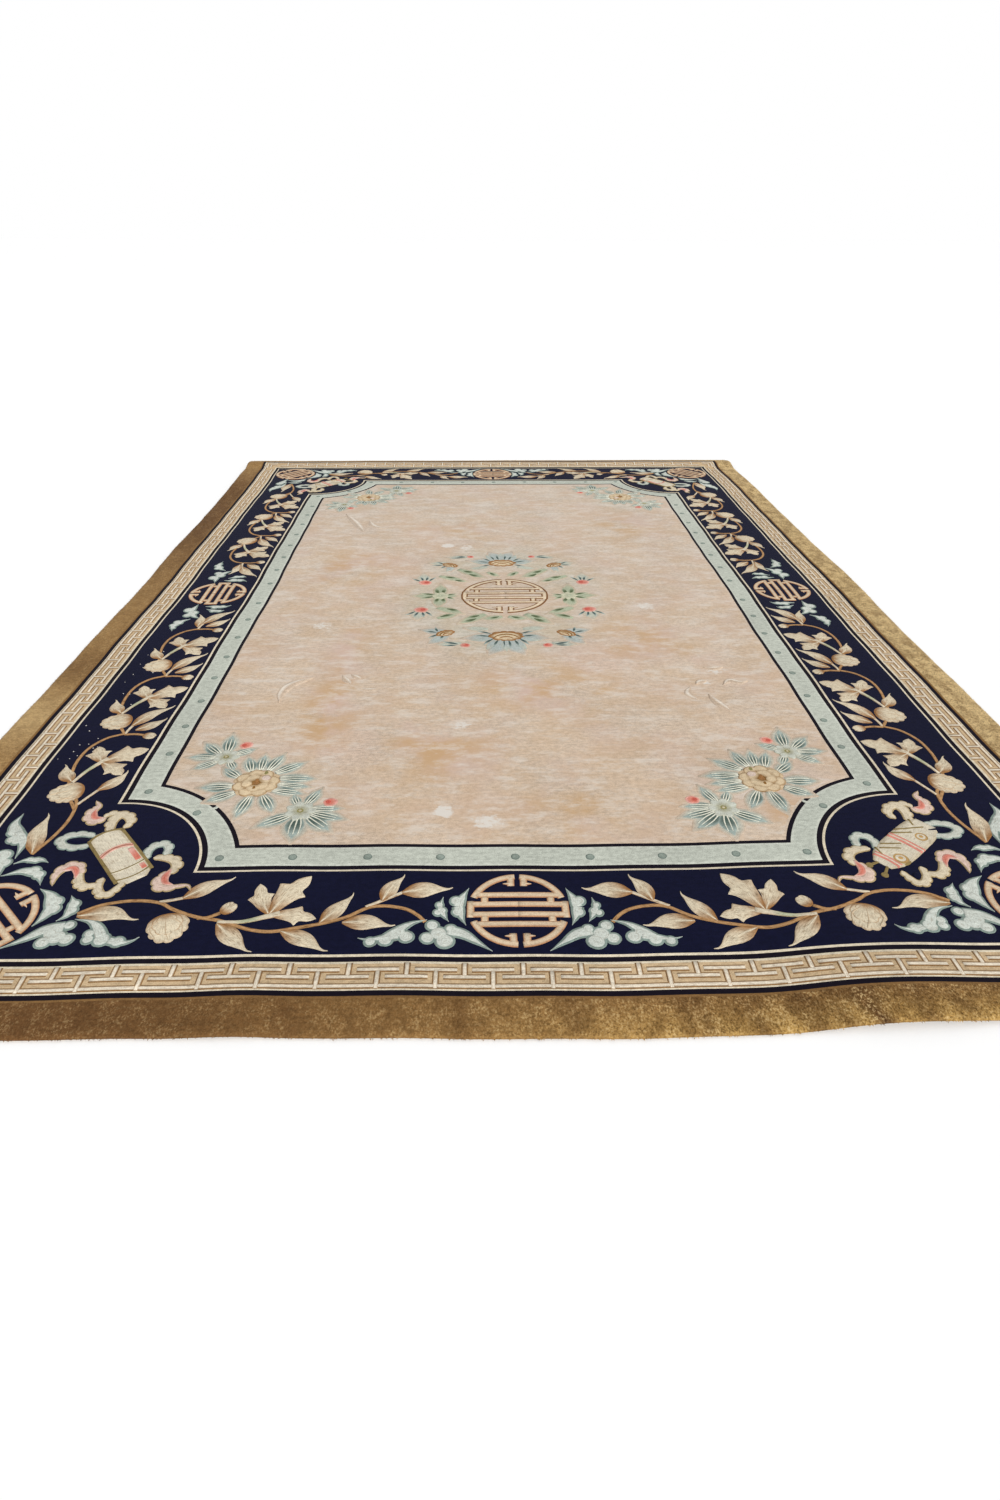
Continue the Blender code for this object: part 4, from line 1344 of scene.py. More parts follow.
# Worn and discoloured places of the field, as soft ovals
SANDY_BASE = 0.30
Stain = namedtuple("Stain", "x y reach_x reach_y amount")
WORN = (
    Stain(-0.215, 0.515, 0.060, 0.050, 1.00),
    Stain(-0.130, 0.495, 0.110, 0.090, 0.60),
    Stain(0.520, -0.140, 0.120, 0.100, 0.62),
    Stain(0.235, 0.530, 0.090, 0.090, 0.55),
    Stain(0.450, 0.450, 0.100, 0.120, 0.50),
    Stain(-0.165, -1.350, 0.060, 0.060, 0.80),
    Stain(-0.060, -1.390, 0.110, 0.080, 0.66),
    Stain(-0.130, -0.960, 0.085, 0.045, 0.66),
    Stain(-0.620, -0.300, 0.100, 0.110, 0.60),
    Stain(0.655, -0.650, 0.090, 0.070, 0.62),
    Stain(0.600, -0.725, 0.070, 0.050, 0.66),
    Stain(0.620, 0.560, 0.140, 0.200, 0.45),
    Stain(-0.380, -1.130, 0.070, 0.080, 0.40),
    Stain(-0.700, 0.900, 0.130, 0.150, 0.45),
    Stain(0.420, 1.180, 0.160, 0.110, 0.45),
)
SANDY = (
    Stain(-0.510, -0.880, 0.110, 0.300, 0.80),
    Stain(-0.500, -0.480, 0.090, 0.260, 0.55),
    Stain(-0.600, 0.260, 0.230, 0.330, 0.45),
    Stain(-0.200, -1.080, 0.240, 0.220, 0.60),
    Stain(0.110, -0.740, 0.300, 0.240, 0.55),
    Stain(0.283, -0.770, 0.060, 0.060, 0.80),
    Stain(0.460, -0.420, 0.220, 0.250, 0.45),
    Stain(0.150, -1.340, 0.190, 0.130, 0.55),
    Stain(0.660, -1.380, 0.100, 0.090, 0.60),
    Stain(0.630, -0.520, 0.080, 0.090, 0.50),
    Stain(0.560, 0.760, 0.220, 0.260, 0.40),
    Stain(-0.180, 0.700, 0.300, 0.200, 0.30),
)
PINK = (
    Stain(0.620, -1.180, 0.300, 0.260, 0.65),
    Stain(-0.500, -1.080, 0.260, 0.200, 0.45),
    Stain(-0.350, 0.200, 0.220, 0.420, 0.40),
    Stain(-0.650, -1.250, 0.160, 0.240, 0.55),
    Stain(0.300, -0.550, 0.240, 0.300, 0.30),
)
HALOS = (
    Stain(-0.620, -1.220, 0.300, 0.300, 0.36),
    Stain(0.620, -1.220, 0.300, 0.300, 0.34),
    Stain(-0.620, 1.220, 0.300, 0.300, 0.34),
    Stain(0.620, 1.220, 0.300, 0.300, 0.34),
)


def stained(plan, stains):
    """Return the greatest amount of any of the soft ovals at each point."""
    amounts = [s.amount * soft_step(np.hypot((plan[..., 0] - s.x) / s.reach_x,
                                             (plan[..., 1] - s.y) / s.reach_y)) for s in stains]
    return np.max(amounts, 0)


def field_dye_and_sheen(plan):
    """Return the field's colour: its dye, misty round its flowers, made paler toward the far end by painted
    sheen.
    """
    x, y = plan[..., 0], plan[..., 1]
    # Painted sheen: the field turns paler and greyer toward the far end
    colour = mix(FIELD_FAR_SHEEN, FIELD_NEAR, 0.5 - y / 2.4)
    colour = mix(colour, FIELD_PINK, stained(plan, PINK))
    oval = np.hypot(x / 0.33, (y + 0.03) / 0.44)
    return mix(colour, HALO, np.maximum(0.50 * bell(oval, 0.85, 0.30), stained(plan, HALOS)))


# Painted shade in slanting bands, where the near gold border's pile leans and looks darker
BAND_SLANT = 0.30
Band = namedtuple("Band", "x reach strength")
GOLD_SHADE_BANDS = (
    Band(-0.430, 0.014, 0.42),
    Band(-0.120, 0.025, 0.35),
    Band(0.080, 0.015, 0.35),
    Band(0.300, 0.025, 0.49),
    Band(0.405, 0.014, 0.49),
    Band(0.500, 0.017, 0.70),
    Band(0.555, 0.012, 0.63),
    Band(0.610, 0.020, 1.00),
    Band(0.700, 0.015, 0.63),
    Band(0.775, 0.012, 0.42),
)


def gold_dye_and_light(plan):
    """Return the outer border's colour: its dye, brown at the near left, with painted light that makes it
    lightest at the right and paler at the far end, a painted highlight along the near edge and painted shade
    in slanting bands.
    """
    x, y = plan[..., 0], plan[..., 1]
    # Painted light lightens the right side
    right_painted_light = 1.15 * ramp(x, 0.7, 1.3) * ramp(y, -1.9, -1.0)
    colour = mix(GOLD, GOLD_LIT, right_painted_light + 0.13 * ramp(-x, 1.0, 1.3))
    # Painted sheen makes the far end paler
    colour = mix(colour, GOLD_LIT, 0.5 * ramp(y, 1.88, 1.93))
    # Painted highlight along the near outer edge, toward the right
    colour = mix(colour, GOLD_SHEEN, 0.5 * ramp(x, -0.3, 0.6) * ramp(-y, 1.90, 1.98))
    near_left = 0.80 * ramp(-x, -0.1, 0.9) * ramp(-y, 1.2, 1.95)
    far_left = 0.80 * ramp(-x, 0.9, 1.2) * ramp(y, -0.2, 0.8) * ramp(-y, -1.85, -1.35)
    colour = mix(colour, GOLD_DEEP, np.maximum(near_left, far_left))
    left = ramp(-x, 1.2, 1.26)
    # A painted highlight streak down the left side, with a darker band beside it
    colour = mix(colour, GOLD_LIT, 0.50 * left * bell(y, -0.90, 0.15))
    colour = mix(colour, GOLD_DEEP, 0.45 * left * bell(y, -0.60, 0.11))
    # Painted shade of the leaning pile in slanting bands along the near end
    slanted = x + BAND_SLANT * (y + HALF_LENGTH - 0.055)
    shaded = np.max([each.strength * bell(slanted, each.x, each.reach) for each in GOLD_SHADE_BANDS], 0)
    return mix(colour, GOLD_DEEP, shaded * ramp(-y, 1.86, 1.92))


def fleck_and_sheen_share(plan):
    """Return how strongly the gold border's pile is flecked, which also sets its painted sheen streaks and
    glints: most at the near right.
    """
    return 0.32 + 0.58 * ramp(plan[..., 0], -0.5, 0.6)


CREASE_SPREAD = 1.7


def creases(nap):
    """Draw the creases of the field, each a low fold that is paler on its lit side."""
    for crease in CREASES:
        ground = field_dye_and_sheen(np.array(crease.path).mean(0))
        def shade(across, along):
            middle = np.sin(math.pi * np.clip(along, 0.0, 1.0)) ** 0.6
            lit, dark = bell(across, 0.28, 0.30) * middle, bell(across, -0.42, 0.26) * middle
            return mix(mix(ground, CREASE_LIT, 0.9 * lit), CREASE_SHADE, 0.5 * dark)
        strip(nap, WHOLE, crease.path, CREASE_SPREAD * crease.half_width * CREASE_SHAPE, shade,
              rise=crease.height, steps=24, crown=0.75, strokes=0.0, vary=0.01)


LINT_COUNT = 34


def lint(nap):
    """Scatter the bits of pale lint caught in the left border."""
    spans = ((-1.17, -1.08), (-1.20, -0.45), (0.0010, 0.0023))
    for x, y, radius in zip(*[RANDOM.uniform(*span, LINT_COUNT) for span in spans]):
        patch(nap, WHOLE.at(x, y), scallops(radius, 3, 0.3, 0.7), BARE, rise=0.0012, steps=8)


# Points along one quarter of each loop: straight sides, then the corner between them
SIDE_STEPS_Y = 66
CORNER_STEPS = 40
SIDE_STEPS_X = 38
CORNER_REACH = 0.235


def quarter_points(line, offset):
    """Return one quarter of a loop, from the right side round the corner to the far end."""
    corner = np.array([HALF_WIDTH - line.inset, HALF_LENGTH - line.inset])
    if line.notch_radius:
        reach = line.notch_radius - offset
        beyond = offset - line.notch_shift
        beside = math.sqrt(reach ** 2 - beyond ** 2)
        first, last = math.atan2(-beside, beyond), math.atan2(beyond, -beside)
        last = last - math.tau if last > 0.0 else last
        angle = np.linspace(first, last, CORNER_STEPS + 1)
        bend = corner + line.notch_shift + reach * np.stack([np.cos(angle), np.sin(angle)], -1)
    else:
        tip = corner + offset
        half = CORNER_STEPS // 2
        up = np.linspace(tip - (0.0, CORNER_REACH), tip, half + 1)[:-1]
        across = np.linspace(tip, tip - (CORNER_REACH, 0.0), half + 1)
        bend = np.concatenate([up, across])
    side = np.linspace((bend[0][0], 0.0), bend[0], SIDE_STEPS_Y + 1)[:-1]
    end = np.linspace(bend[-1], (0.0, bend[-1][1]), SIDE_STEPS_X + 1)[1:]
    return np.concatenate([side, bend, end])


def loop(line, offset=0.0, rounded=0.0):
    """Return a whole loop, anticlockwise from the middle of the right side."""
    quarter = quarter_points(line, offset)
    if rounded:
        tip = SIDE_STEPS_Y + CORNER_STEPS // 2
        quarter[tip] -= rounded * (1.0 - math.sqrt(0.5))
    mirrored = quarter[::-1] * (-1, 1)
    return np.concatenate([quarter[:-1], mirrored[:-1], -quarter[:-1], -mirrored[:-1]])


EDGE = Line(0.0, 0.0, 0.0)
BLACK_HALF = 0.0062
FIELD_LINE_HALF = 0.0052
THREAD = 0.0058
EDGE_TUCK = 0.0035
SHOULDER_DROP = 0.0018
Row = namedtuple("Row", "line offset rise steps dye fleck")


def line_rows(line, outer, inner, half=BLACK_HALF, carved=CARVED_DEPTH):
    """Return the rows of one carved black line, with a thread of dye on either side."""
    return [
        Row(line, half + THREAD, 0.0, 1, outer, 0.0),
        Row(line, half, -0.4 * carved, 1, BLACK, 0.0),
        Row(line, 0.0, -carved, 1, BLACK, 0.0),
        Row(line, -half, -0.4 * carved, 1, inner, 0.0),
    ]


def row_loop(row):
    """Return a row's loop, with the cloth's own corners rounded."""
    return loop(row.line, row.offset, CORNER_RADIUS if row.line is EDGE else 0.0)


def cloth_rows():
    """Return the loops of the pile from the edge inward, each with the dye that follows."""
    rows = [
        Row(EDGE, -EDGE_TUCK, -PILE_HEIGHT, 1, UNDER, 0.0),
        Row(EDGE, 0.0, EDGE_HEIGHT - PILE_HEIGHT, 1, "gold", 0.7),
        Row(EDGE, -EDGE_TUCK, -SHOULDER_DROP, 1, "gold", 1.0),
        Row(EDGE, -EDGE_ROUND, 0.0, 6, "gold", 1.0),
    ]
    rows += line_rows(GOLD_LINE, TAN_DARK, CREAM)
    rows += [Row(GOLD_LINE, -BLACK_HALF - THREAD, 0.0, 4, TAN, 0.0)]
    rows += line_rows(FRET_LINE, CREAM, CREAM)
    rows += [Row(FRET_LINE, -BLACK_HALF - THREAD, 0.0, 16, NAVY, 0.0)]
    rows += line_rows(MINT_LINE, CREAM, MINT_LIGHT)
    rows += [Row(MINT_LINE, -BLACK_HALF - THREAD, 0.0, 4, MINT, 0.0)]
    rows += line_rows(FIELD_LINE, MINT_LIGHT, "field", half=FIELD_LINE_HALF)
    rows += [Row(FIELD_LINE, -FIELD_LINE_HALF - THREAD, 0.0, 0, "field", 0.0)]
    return rows


FIELD_STEP = 0.0145
UNDER_STEP = 0.110
UNDER_MARGIN = 0.03
INSIDE_ONLY = 1
MERGE_DISTANCE = 1e-7

# Where the field's line breaks off at both near corners
QUARTER_STEPS = SIDE_STEPS_Y + CORNER_STEPS + SIDE_STEPS_X
LINE_GAP_COLUMN = SIDE_STEPS_Y + CORNER_STEPS // 2
LINE_GAPS = [2 * QUARTER_STEPS + LINE_GAP_COLUMN, 4 * QUARTER_STEPS - LINE_GAP_COLUMN - 1]


def in_field(plan, margin):
    """Tell which points lie inside the field's line by more than a margin."""
    away_x = HALF_WIDTH - FIELD_LINE.inset - np.abs(plan[:, 0])
    away_y = HALF_LENGTH - FIELD_LINE.inset - np.abs(plan[:, 1])
    shift = FIELD_LINE.notch_shift
    notched = np.hypot(away_x + shift, away_y + shift) > FIELD_LINE.notch_radius + margin
    return (away_x > margin) & (away_y > margin) & notched


def lattice(step, half_x, half_y):
    """Return a lattice of points, every second row set half a step aside."""
    columns, rows = int(half_x / step), int(half_y / step)
    x, y = np.meshgrid(np.arange(-columns, columns + 1), np.arange(-rows, rows + 1))
    return step * np.stack([x + 0.5 * (y % 2), y], -1).reshape(-1, 2).astype(float)


def band_dye_and_light(name, plan):
    """Return the colours of a band at points of the plan: its dyes, with the gold border's painted light and
    shade and the field's painted sheen.
    """
    if isinstance(name, str):
        return gold_dye_and_light(plan) if name == "gold" else field_dye_and_sheen(plan)
    return np.broadcast_to(name, plan.shape[:-1] + (3,))


class Cloth:
    """The cloth's one mesh, gathered from its edge inward, then its underside.

    Every corner of a face has a dye, with painted light, shade and sheen on the gold border and painted
    sheen toward the field's far end, and a finish of its worn, flecked and sandy shares, where the flecked
    share also sets the gold border's painted sheen streaks and glints.
    """

    def __init__(self):
        self.plans, self.rises, self.quads, self.tris, self.dyes, self.finishes = ([] for _ in range(6))
        self.count = 0

    def add_points(self, plan, rise):
        """Add points at a height over the full pile, and return the number of the first."""
        self.plans.append(plan)
        self.rises.append(np.full(len(plan), rise))
        self.count += len(plan)
        return self.count - len(plan)

    def add_looks(self, dye, worn, fleck, sandy):
        """Add the looks of the corners of new faces."""
        self.dyes.append(dye.reshape(-1, 3))
        shares = [np.broadcast_to(share, dye.shape[:-1]).reshape(-1) for share in (worn, fleck, sandy)]
        self.finishes.append(np.stack(shares, -1))

    def band(self, row, ahead):
        """Fill the band from one row's loop up to the next one's."""
        start, end = row_loop(row), row_loop(ahead)
        i = np.arange(len(start))
        j = np.roll(i, -1)
        for step in range(row.steps):
            share, after = step / row.steps, (step + 1) / row.steps
            first, second = start + (end - start) * share, start + (end - start) * after
            base = self.add_points(first, row.rise + (ahead.rise - row.rise) * share)
            self.quads.append(base + np.stack([i, j, len(i) + j, len(i) + i], -1))
            corners = np.stack([first[i], first[j], second[j], second[i]], 1)
            dye = np.array(band_dye_and_light(row.dye, corners))
            if row.line is FIELD_LINE and row.dye is BLACK:
                dye[LINE_GAPS] = MINT_LIGHT
            self.add_looks(dye, 0.0, row.fleck * fleck_and_sheen_share(corners), 0.0)

    def fill(self, ring, first, loose, rise):
        """Triangulate the inside of a ring that is there, and return its triangles and their places."""
        count = len(ring)
        edges = [(i, (i + 1) % count) for i in range(count)]
        flat = [Vector(point) for point in np.concatenate([ring, loose])]
        found, _, faces, sources, _, _ = delaunay_2d_cdt(
            flat, edges, [list(range(count))], INSIDE_ONLY, MERGE_DISTANCE)
        points = np.array([tuple(point) for point in found])
        where = {index: place for place, source in enumerate(sources) for index in source}
        inner = np.ones(len(points), bool)
        order = [where[i] for i in range(count)]
        inner[order] = False
        index = np.empty(len(points), int)
        index[order] = first + np.arange(count)
        index[inner] = self.add_points(points[inner], rise) + np.arange(inner.sum())
        tris = np.array([tuple(face) for face in faces])
        return index[tris], points[tris]


def make_cloth(material):
    """Make the whole cloth: border bands, field, side wall and underside in one mesh."""
    cloth = Cloth()
    rows = cloth_rows()
    for row, ahead in zip(rows, rows[1:]):
        cloth.band(row, ahead)
    ring = row_loop(rows[-1])
    loose = lattice(FIELD_STEP, HALF_WIDTH, HALF_LENGTH)
    loose = loose[in_field(loose, BLACK_HALF + THREAD + 0.5 * FIELD_STEP)]
    tris, corners = cloth.fill(ring, cloth.add_points(ring, 0.0), loose, 0.0)
    cloth.tris.append(tris)
    cloth.add_looks(field_dye_and_sheen(corners), stained(corners, WORN), 0.0, SANDY_BASE + stained(corners, SANDY))
    half = np.array([HALF_WIDTH, HALF_LENGTH]) - UNDER_MARGIN
    loose = lattice(UNDER_STEP, *half)
    loose = loose[(np.abs(loose) < half).all(-1)]
    tris, corners = cloth.fill(row_loop(rows[0]), 0, loose, -PILE_HEIGHT)
    cloth.tris.append(tris[:, ::-1])
    cloth.add_looks(np.broadcast_to(UNDER, corners.shape[:-1] + (3,)), 0.0, 0.0, 0.0)
    places = drape(np.concatenate(cloth.plans), PILE_HEIGHT + np.concatenate(cloth.rises))
    quads, tris = np.concatenate(cloth.quads), np.concatenate(cloth.tris)
    return make_object("rug_cloth", places, quads, tris, "CORNER", material,
                       dye=np.concatenate(cloth.dyes), finish=np.concatenate(cloth.finishes))


# Tufts that stand out from the gold border's rim and roughen its pile
RIM_TUFTS = 14000
PILE_TUFTS = 30000
TUFT_ROOT = 0.0011
TUFT_SUNK = 0.0006
TUFT_ASIDE = 0.0014
RIM_REACH = 0.008
RIM_ROUND = 0.010
PILE_FROM_RIM = 0.006
PILE_FROM_LINE = 0.012


def edge_places(run, inward):
    """Return places some way inward from the rug's edge, and the ways that face out there.

    The run goes along the near end, the right side, the far end and the left side.
    """
    half = np.array([HALF_WIDTH, HALF_LENGTH])
    place, out = np.empty((len(run), 2)), np.empty((len(run), 2))
    first = 0.0
    for side, way in enumerate((-1.0, -1.0, 1.0, 1.0)):
        length = 2.0 * half[side % 2]
        here = (run >= first) & (run < first + length)
        reach = 0.5 * length - inward[here]
        along = np.clip(run[here] - first - 0.5 * length, -reach, reach)
        if side % 2 == 0:
            place[here] = np.stack([along, way * (half[1] - inward[here])], -1)
            out[here] = (0.0, way)
        else:
            place[here] = np.stack([-way * (half[0] - inward[here]), along], -1)
            out[here] = (-way, 0.0)
        first += length
    return place, out


def make_tufts(material):
    """Make the loose tufts of the gold border, three faces each."""
    total = RIM_TUFTS + PILE_TUFTS
    run = RANDOM.uniform(0.0, 4.0 * (HALF_WIDTH + HALF_LENGTH), total)
    depth = np.concatenate([RANDOM.uniform(0.0, RIM_REACH, RIM_TUFTS),
                            RANDOM.uniform(PILE_FROM_RIM, GOLD_WIDTH - PILE_FROM_LINE, PILE_TUFTS)])
    place, out = edge_places(run, depth)
    rim = depth < RIM_REACH
    round_rise = (PILE_HEIGHT - EDGE_HEIGHT) * np.sqrt(np.clip(depth / RIM_ROUND, 0, 1))
    surface = np.where(rim, EDGE_HEIGHT + round_rise, PILE_HEIGHT) - TUFT_SUNK
    surface = surface * np.where(rim, RANDOM.uniform(0.55, 1.0, total), 1.0)
    lean = np.where(rim, RANDOM.uniform(0.0010, 0.0042, total), RANDOM.uniform(-0.0006, 0.0010, total))
    tall = np.where(rim, RANDOM.uniform(0.0, 0.0016, total), RANDOM.uniform(0.0010, 0.0026, total))
    turns = RANDOM.uniform(0.0, math.tau, total)[:, None] + math.tau * np.arange(3) / 3
    roots = place[:, None] + TUFT_ROOT * np.stack([np.cos(turns), np.sin(turns)], -1)
    tips = place + out * lean[:, None] + RANDOM.uniform(-TUFT_ASIDE, TUFT_ASIDE, (total, 2))
    heights = np.stack([surface, surface, surface, surface + tall], 1)
    places = drape(np.concatenate([roots, tips[:, None]], 1), heights).reshape(-1, 3)
    base = 4 * np.arange(total)[:, None]
    tris = np.concatenate([base + (0, 1, 3), base + (1, 2, 3), base + (2, 0, 3)])
    tone = RANDOM.uniform(0.62, 1.55, total)[:, None, None]
    shades = np.repeat(gold_dye_and_light(place)[:, None] * tone, 4, 1)
    return make_object("edge_tufts", places, np.zeros((0, 4), int), tris, "POINT", material,
                       dye=shades.reshape(-1, 3))


class Recipe:
    """The nodes of one material, wired as they are asked for."""

    def __init__(self, name):
        self.material = bpy.data.materials.new(name)
        self.material.use_nodes = True
        self.tree = self.material.node_tree
        self.shader = self.tree.nodes["Principled BSDF"]
        self.place = self.node("ShaderNodeTexCoord").outputs["Object"]

    def node(self, kind, inputs=None, **settings):
        """Add a node, set it and feed its inputs with sockets or values."""
        made = self.tree.nodes.new(kind)
        for key, value in settings.items():
            setattr(made, key, value)
        for key, value in (inputs or {}).items():
            self.feed(made.inputs[key], value)
        return made

    def feed(self, socket, value):
        """Link a socket or set its value."""
        if isinstance(value, bpy.types.NodeSocket):
            self.tree.links.new(value, socket)
        else:
            socket.default_value = value

    def shade(self, inputs):
        """Feed the shader's own inputs with sockets or values."""
        for key, value in inputs.items():
            self.feed(self.shader.inputs[key], value)

    def math(self, operation, first, second):
        """Return the result of an arithmetic step."""
        return self.node("ShaderNodeMath", {0: first, 1: second}, operation=operation).outputs[0]

    def add(self, first, *others):
        """Return the sum of values."""
        for other in others:
            first = self.math("ADD", first, other)
        return first

    def times(self, first, second):
        """Return the product of two values."""
        return self.math("MULTIPLY", first, second)

    def noise(self, scale, detail=2.0, stretch=(1.0, 1.0, 1.0), roughness=0.5):
        """Return a noise value of about 0 to 1 over the cloth."""
        mapped = self.node("ShaderNodeMapping", {"Vector": self.place, "Scale": stretch})
        made = self.node("ShaderNodeTexNoise", {
            "Vector": mapped.outputs[0], "Scale": scale, "Detail": detail, "Roughness": roughness})
        return made.outputs["Fac"]

    def span(self, value, low, high, start=0.0, end=1.0):
        """Map a value smoothly from one range to another."""
        made = self.node("ShaderNodeMapRange", {
            "Value": value, "From Min": low, "From Max": high, "To Min": start, "To Max": end},
            interpolation_type="SMOOTHSTEP")
        return made.outputs[0]

    def vary(self, value, swing, low=0.30, high=0.70):
        """Map a noise value to a swing either way of nothing."""
        return self.span(value, low, high, -swing, swing)

    def blend(self, first, second, amount, mode="MIX"):
        """Return a blend of two colours, the second a socket or a dye."""
        if isinstance(second, np.ndarray):
            second = (*second, 1.0)
        made = self.node("ShaderNodeMix", {0: amount, 6: first, 7: second}, data_type="RGBA",
                         blend_type=mode)
        return made.outputs[2]

    def layer(self, name):
        """Return the colour of a mesh's layer of values."""
        return self.node("ShaderNodeAttribute", attribute_name=name).outputs["Color"]

    def parts(self, name):
        """Return the three values of a mesh's layer."""
        return self.node("ShaderNodeSeparateColor", {0: self.layer(name)}).outputs


STROKES_ACROSS = 560.0
STROKES_ALONG = 55.0
STROKE_TINT = np.array((0.30, 0.18, 0.09))
# Tint of the painted shade in the gold border's sheen streaks
SHEEN_STREAK_SHADE = np.array((0.42, 0.36, 0.30))
ROUGHNESS = 0.66
KNOT_RELIEF = 0.0008


def silk_pile(name, grain=0.14, clump=0.09, brush=0.05, strokes=0.0):
    """Return dyed silk pile: knots, clumps, brush marks, drawn strokes and uneven dye."""
    look = Recipe(name)
    colour = look.layer("dye")
    knots = look.noise(420.0, 2.0)
    clumps = look.noise(105.0, 3.0, (0.7, 1.0, 1.0), 0.6)
    brushed = look.noise(26.0, 4.0, (1.0, 7.0, 1.0), 0.6)
    cloudy = look.noise(4.0, 3.0)
    tone = look.add(look.span(knots, 0.30, 0.70, 1.0 - grain, 1.0 + grain), look.vary(cloudy, 0.05),
                    look.vary(clumps, clump), look.vary(brushed, brush, 0.32, 0.68))
    if strokes:
        across, along, strength = look.parts("grain")
        scaled = look.node("ShaderNodeCombineXYZ", {
            0: look.times(across, STROKES_ACROSS), 1: look.times(along, STROKES_ALONG)})
        drawn = look.node("ShaderNodeTexNoise", {"Vector": scaled.outputs[0], "Scale": 1.0, "Detail": 2.0})
        dark = look.times(look.span(drawn.outputs["Fac"], 0.50, 0.66, 0.0, strokes), strength)
        colour = look.blend(colour, STROKE_TINT, dark, "MULTIPLY")
    colour = look.node("ShaderNodeVectorMath", {0: colour, "Scale": tone}, operation="SCALE").outputs[0]
    height = look.add(look.times(knots, 0.7), look.times(clumps, 0.9))
    bump = look.node("ShaderNodeBump", {"Height": height, "Strength": 0.8, "Distance": KNOT_RELIEF})
    look.shade({
        "Base Color": colour, "Normal": bump.outputs[0],
        "Roughness": look.span(knots, 0.3, 0.7, ROUGHNESS - 0.08, ROUGHNESS + 0.10),
        "Sheen Weight": 0.02, "Sheen Roughness": 0.40, "Specular IOR Level": 0.05,
    })
    return look, colour


def plain_silk(name, **settings):
    """Return the material of raised or knotted silk."""
    return silk_pile(name, **settings)[0].material


def cloth_silk():
    """Return the cloth's material: silk with stained and worn places and a flecked gold border, with painted
    sheen streaks of shade and painted glints on that border.
    """
    look, colour = silk_pile("rug silk", grain=0.16, clump=0.13, brush=0.06)
    worn, fleck, sandy = look.parts("finish")
    rosy = look.span(look.noise(5.0, 5.0), 0.42, 0.64)
    colour = look.blend(colour, FIELD_PINK, look.times(rosy, sandy))
    patchy = look.span(look.noise(6.5, 7.0, (1.0, 1.2, 1.0), 0.62), 0.38, 0.62)
    colour = look.blend(colour, FIELD_SAND, look.times(patchy, sandy))
    hazy = look.span(look.noise(19.0, 9.0, (0.6, 1.5, 1.0), 0.74), 0.46, 0.66, 0.0, 1.9)
    colour = look.blend(colour, FIELD_PALE, look.times(hazy, look.math("MINIMUM", sandy, SANDY_BASE)))
    frayed = look.noise(95.0, 5.0, (0.6, 1.0, 1.0), 0.72)
    amount = look.add(look.times(worn, 1.10), look.math("SUBTRACT", frayed, 1.00))
    colour = look.blend(colour, BARE, look.span(amount, 0.0, 0.20, 0.0, 0.85))
    specks = look.noise(270.0, 3.0, (1.0, 0.7, 1.0), 0.65)
    # Painted sheen on the gold border: darker streaks of painted shade, and light specks as painted glints
    # that gather in the lit streaks
    streaks = look.noise(21.0, 5.0, (1.5, 1.0, 1.0), 0.66)
    uneven = look.times(look.span(streaks, 0.36, 0.60, 0.80, 0.0), fleck)
    colour = look.blend(colour, SHEEN_STREAK_SHADE, uneven, "MULTIPLY")
    bright = look.times(look.span(specks, 0.50, 0.64), look.span(streaks, 0.40, 0.64, 0.15, 0.85))
    dark = look.times(look.span(specks, 0.48, 0.36), 0.80)
    colour = look.blend(colour, FLECK_GLINT, look.times(bright, fleck))
    colour = look.blend(colour, FLECK_DARK, look.times(dark, fleck))
    look.shade({"Base Color": colour})
    return look.material


def plain_floor():
    """Return the floor's material."""
    look = Recipe("pale floor")
    look.shade({"Base Color": (0.98, 0.98, 0.98, 1.0), "Roughness": 0.9, "Specular IOR Level": 0.1})
    return look.material


CAMERA_PLACE = (-0.0659, -2.8892, 1.1884)
CAMERA_TURN = (56.8595, -0.1642, -1.2854)
FILM_SIZE = 36.0
LENS = 19.58
FLOOR_REACH = 60.0


def add_camera():
    """Put the camera where the rug was seen from."""
    camera = bpy.data.objects.new("camera", bpy.data.cameras.new("camera"))
    camera.location = CAMERA_PLACE
    camera.rotation_euler = [math.radians(turn) for turn in CAMERA_TURN]
    camera.data.sensor_fit = "VERTICAL"
    camera.data.sensor_height = FILM_SIZE
    camera.data.lens = LENS
    camera.data.clip_start = 0.01
    camera.data.clip_end = 500.0
    bpy.context.collection.objects.link(camera)
    bpy.context.scene.camera = camera


KEY_TURN = (55.0, 0.0, 30.0)
KEY_STRENGTH = 2.3
KEY_SPREAD = 18.0
SURROUND_STRENGTH = 0.62


def add_key_light():
    """Add the broad soft light that comes over the rug's near right."""
    light = bpy.data.objects.new("key", bpy.data.lights.new("key", "SUN"))
    light.data.energy = KEY_STRENGTH
    light.data.angle = math.radians(KEY_SPREAD)
    light.rotation_euler = [math.radians(turn) for turn in KEY_TURN]
    bpy.context.collection.objects.link(light)


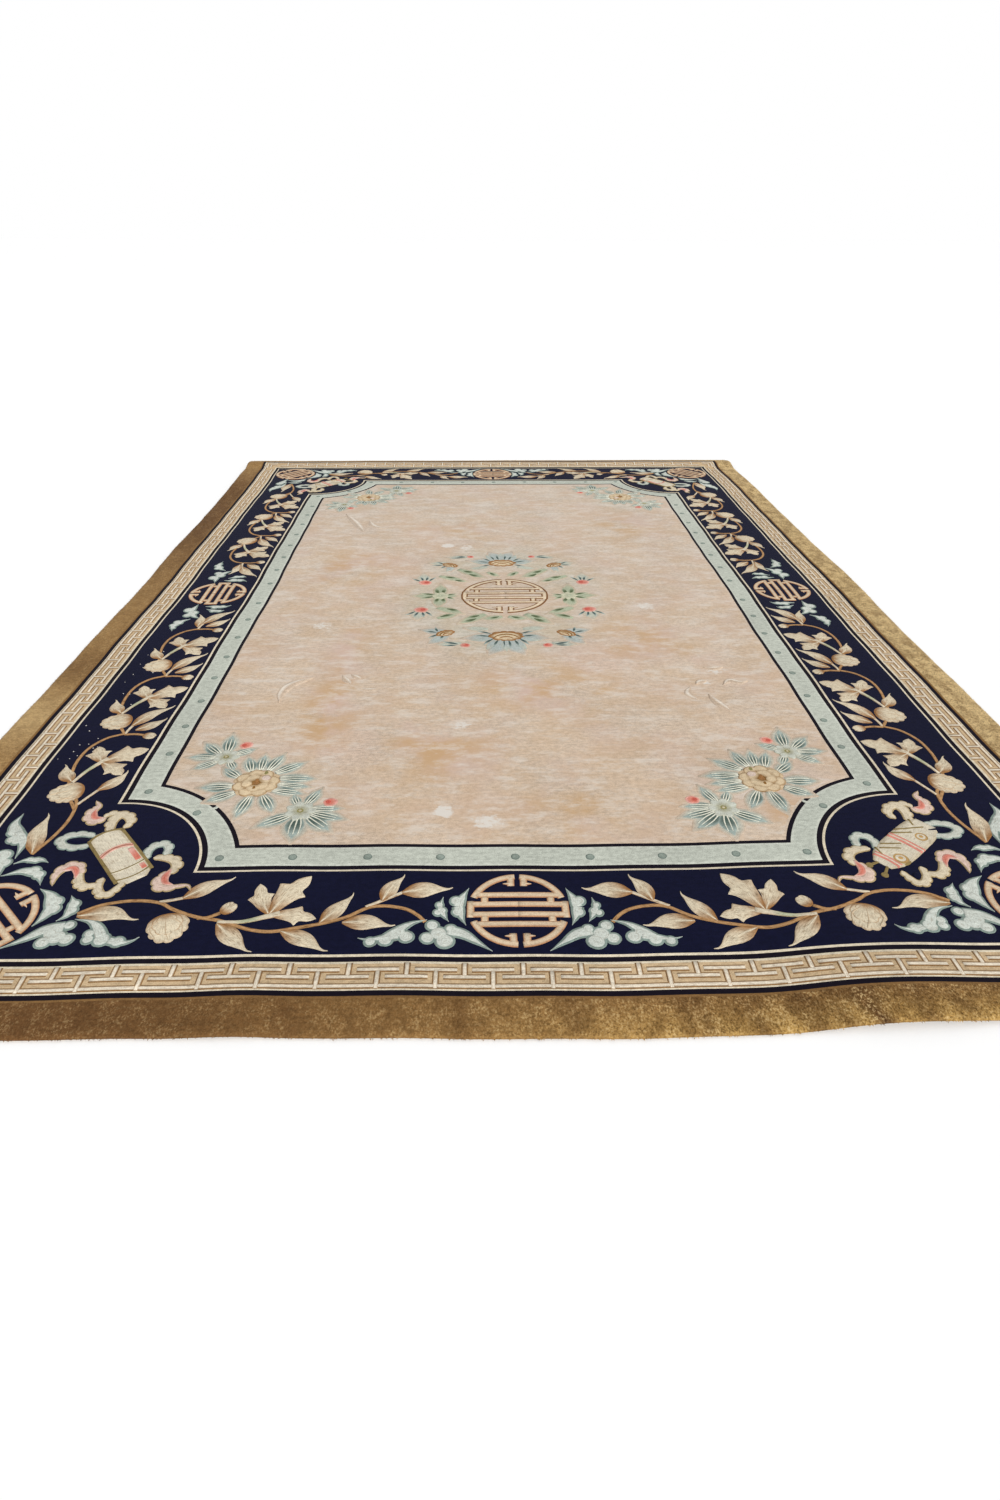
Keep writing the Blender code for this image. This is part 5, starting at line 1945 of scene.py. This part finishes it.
def add_surround():
    """Add the studio's even light, which shows as plain white behind the floor."""
    world = bpy.data.worlds.new("surround")
    world.use_nodes = True
    nodes, links = world.node_tree.nodes, world.node_tree.links
    back = nodes["Background"]
    back.inputs["Color"].default_value = (1.0, 1.0, 1.0, 1.0)
    seen = nodes.new("ShaderNodeLightPath").outputs["Is Camera Ray"]
    strength = nodes.new("ShaderNodeMapRange")
    strength.inputs["To Min"].default_value = SURROUND_STRENGTH
    strength.inputs["To Max"].default_value = 1.0
    links.new(seen, strength.inputs["Value"])
    links.new(strength.outputs[0], back.inputs["Strength"])
    bpy.context.scene.world = world


def add_stage():
    """Add the pale floor and the lights."""
    mesh = bpy.data.meshes.new("floor")
    corners = [(-FLOOR_REACH, -FLOOR_REACH, 0.0), (FLOOR_REACH, -FLOOR_REACH, 0.0),
               (FLOOR_REACH, FLOOR_REACH, 0.0), (-FLOOR_REACH, FLOOR_REACH, 0.0)]
    mesh.from_pydata(corners, [], [(0, 1, 2, 3)])
    mesh.materials.append(plain_floor())
    floor = bpy.data.objects.new("floor", mesh)
    bpy.context.collection.objects.link(floor)
    add_key_light()
    add_surround()
    bpy.context.scene.view_settings.view_transform = "Standard"


def main():
    add_camera()
    cloth = make_cloth(cloth_silk())
    border = plain_silk("border silk", strokes=0.75)
    pastel = plain_silk("field silk", strokes=0.55)
    fringe = plain_silk("tuft silk")
    leaves, stems, flowers, clouds = Nap(), Nap(), Nap(), Nap()
    for quarter in QUARTERS:
        border_vines(leaves, stems, flowers, quarter)
        for each in CLOUDS:
            cloud(clouds, quarter, *each)
    rounds, frets, dots, corners, sprays, ring, centre, folds = [Nap() for _ in range(8)]
    for spot in medallion_spots():
        medallion(rounds, spot, MEDALLION_RADIUS, two_tone(PEACH, PEACH_EDGE, 0.66), rise=0.0017)
    fret(frets)
    mint_dots(dots)
    treasures(corners)
    for quarter in QUARTERS:
        corner_spray(sprays, quarter)
    wreath(ring)
    creases(folds)
    lint(folds)
    ringed_medallion(centre)
    pieces = [
        leaves.finish("border_leaves", border), stems.finish("border_stems", border),
        flowers.finish("border_flowers", border), clouds.finish("border_clouds", border),
        rounds.finish("border_medallions", border), frets.finish("fret", border),
        dots.finish("mint_dots", pastel), corners.finish("corner_treasures", border),
        sprays.finish("field_sprays", pastel), ring.finish("field_wreath", pastel),
        centre.finish("field_medallion", pastel), folds.finish("field_creases", pastel), make_tufts(fringe),
    ]
    for piece in [cloth] + pieces:
        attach(piece, "root")
    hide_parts("rug")
    add_stage()


main()
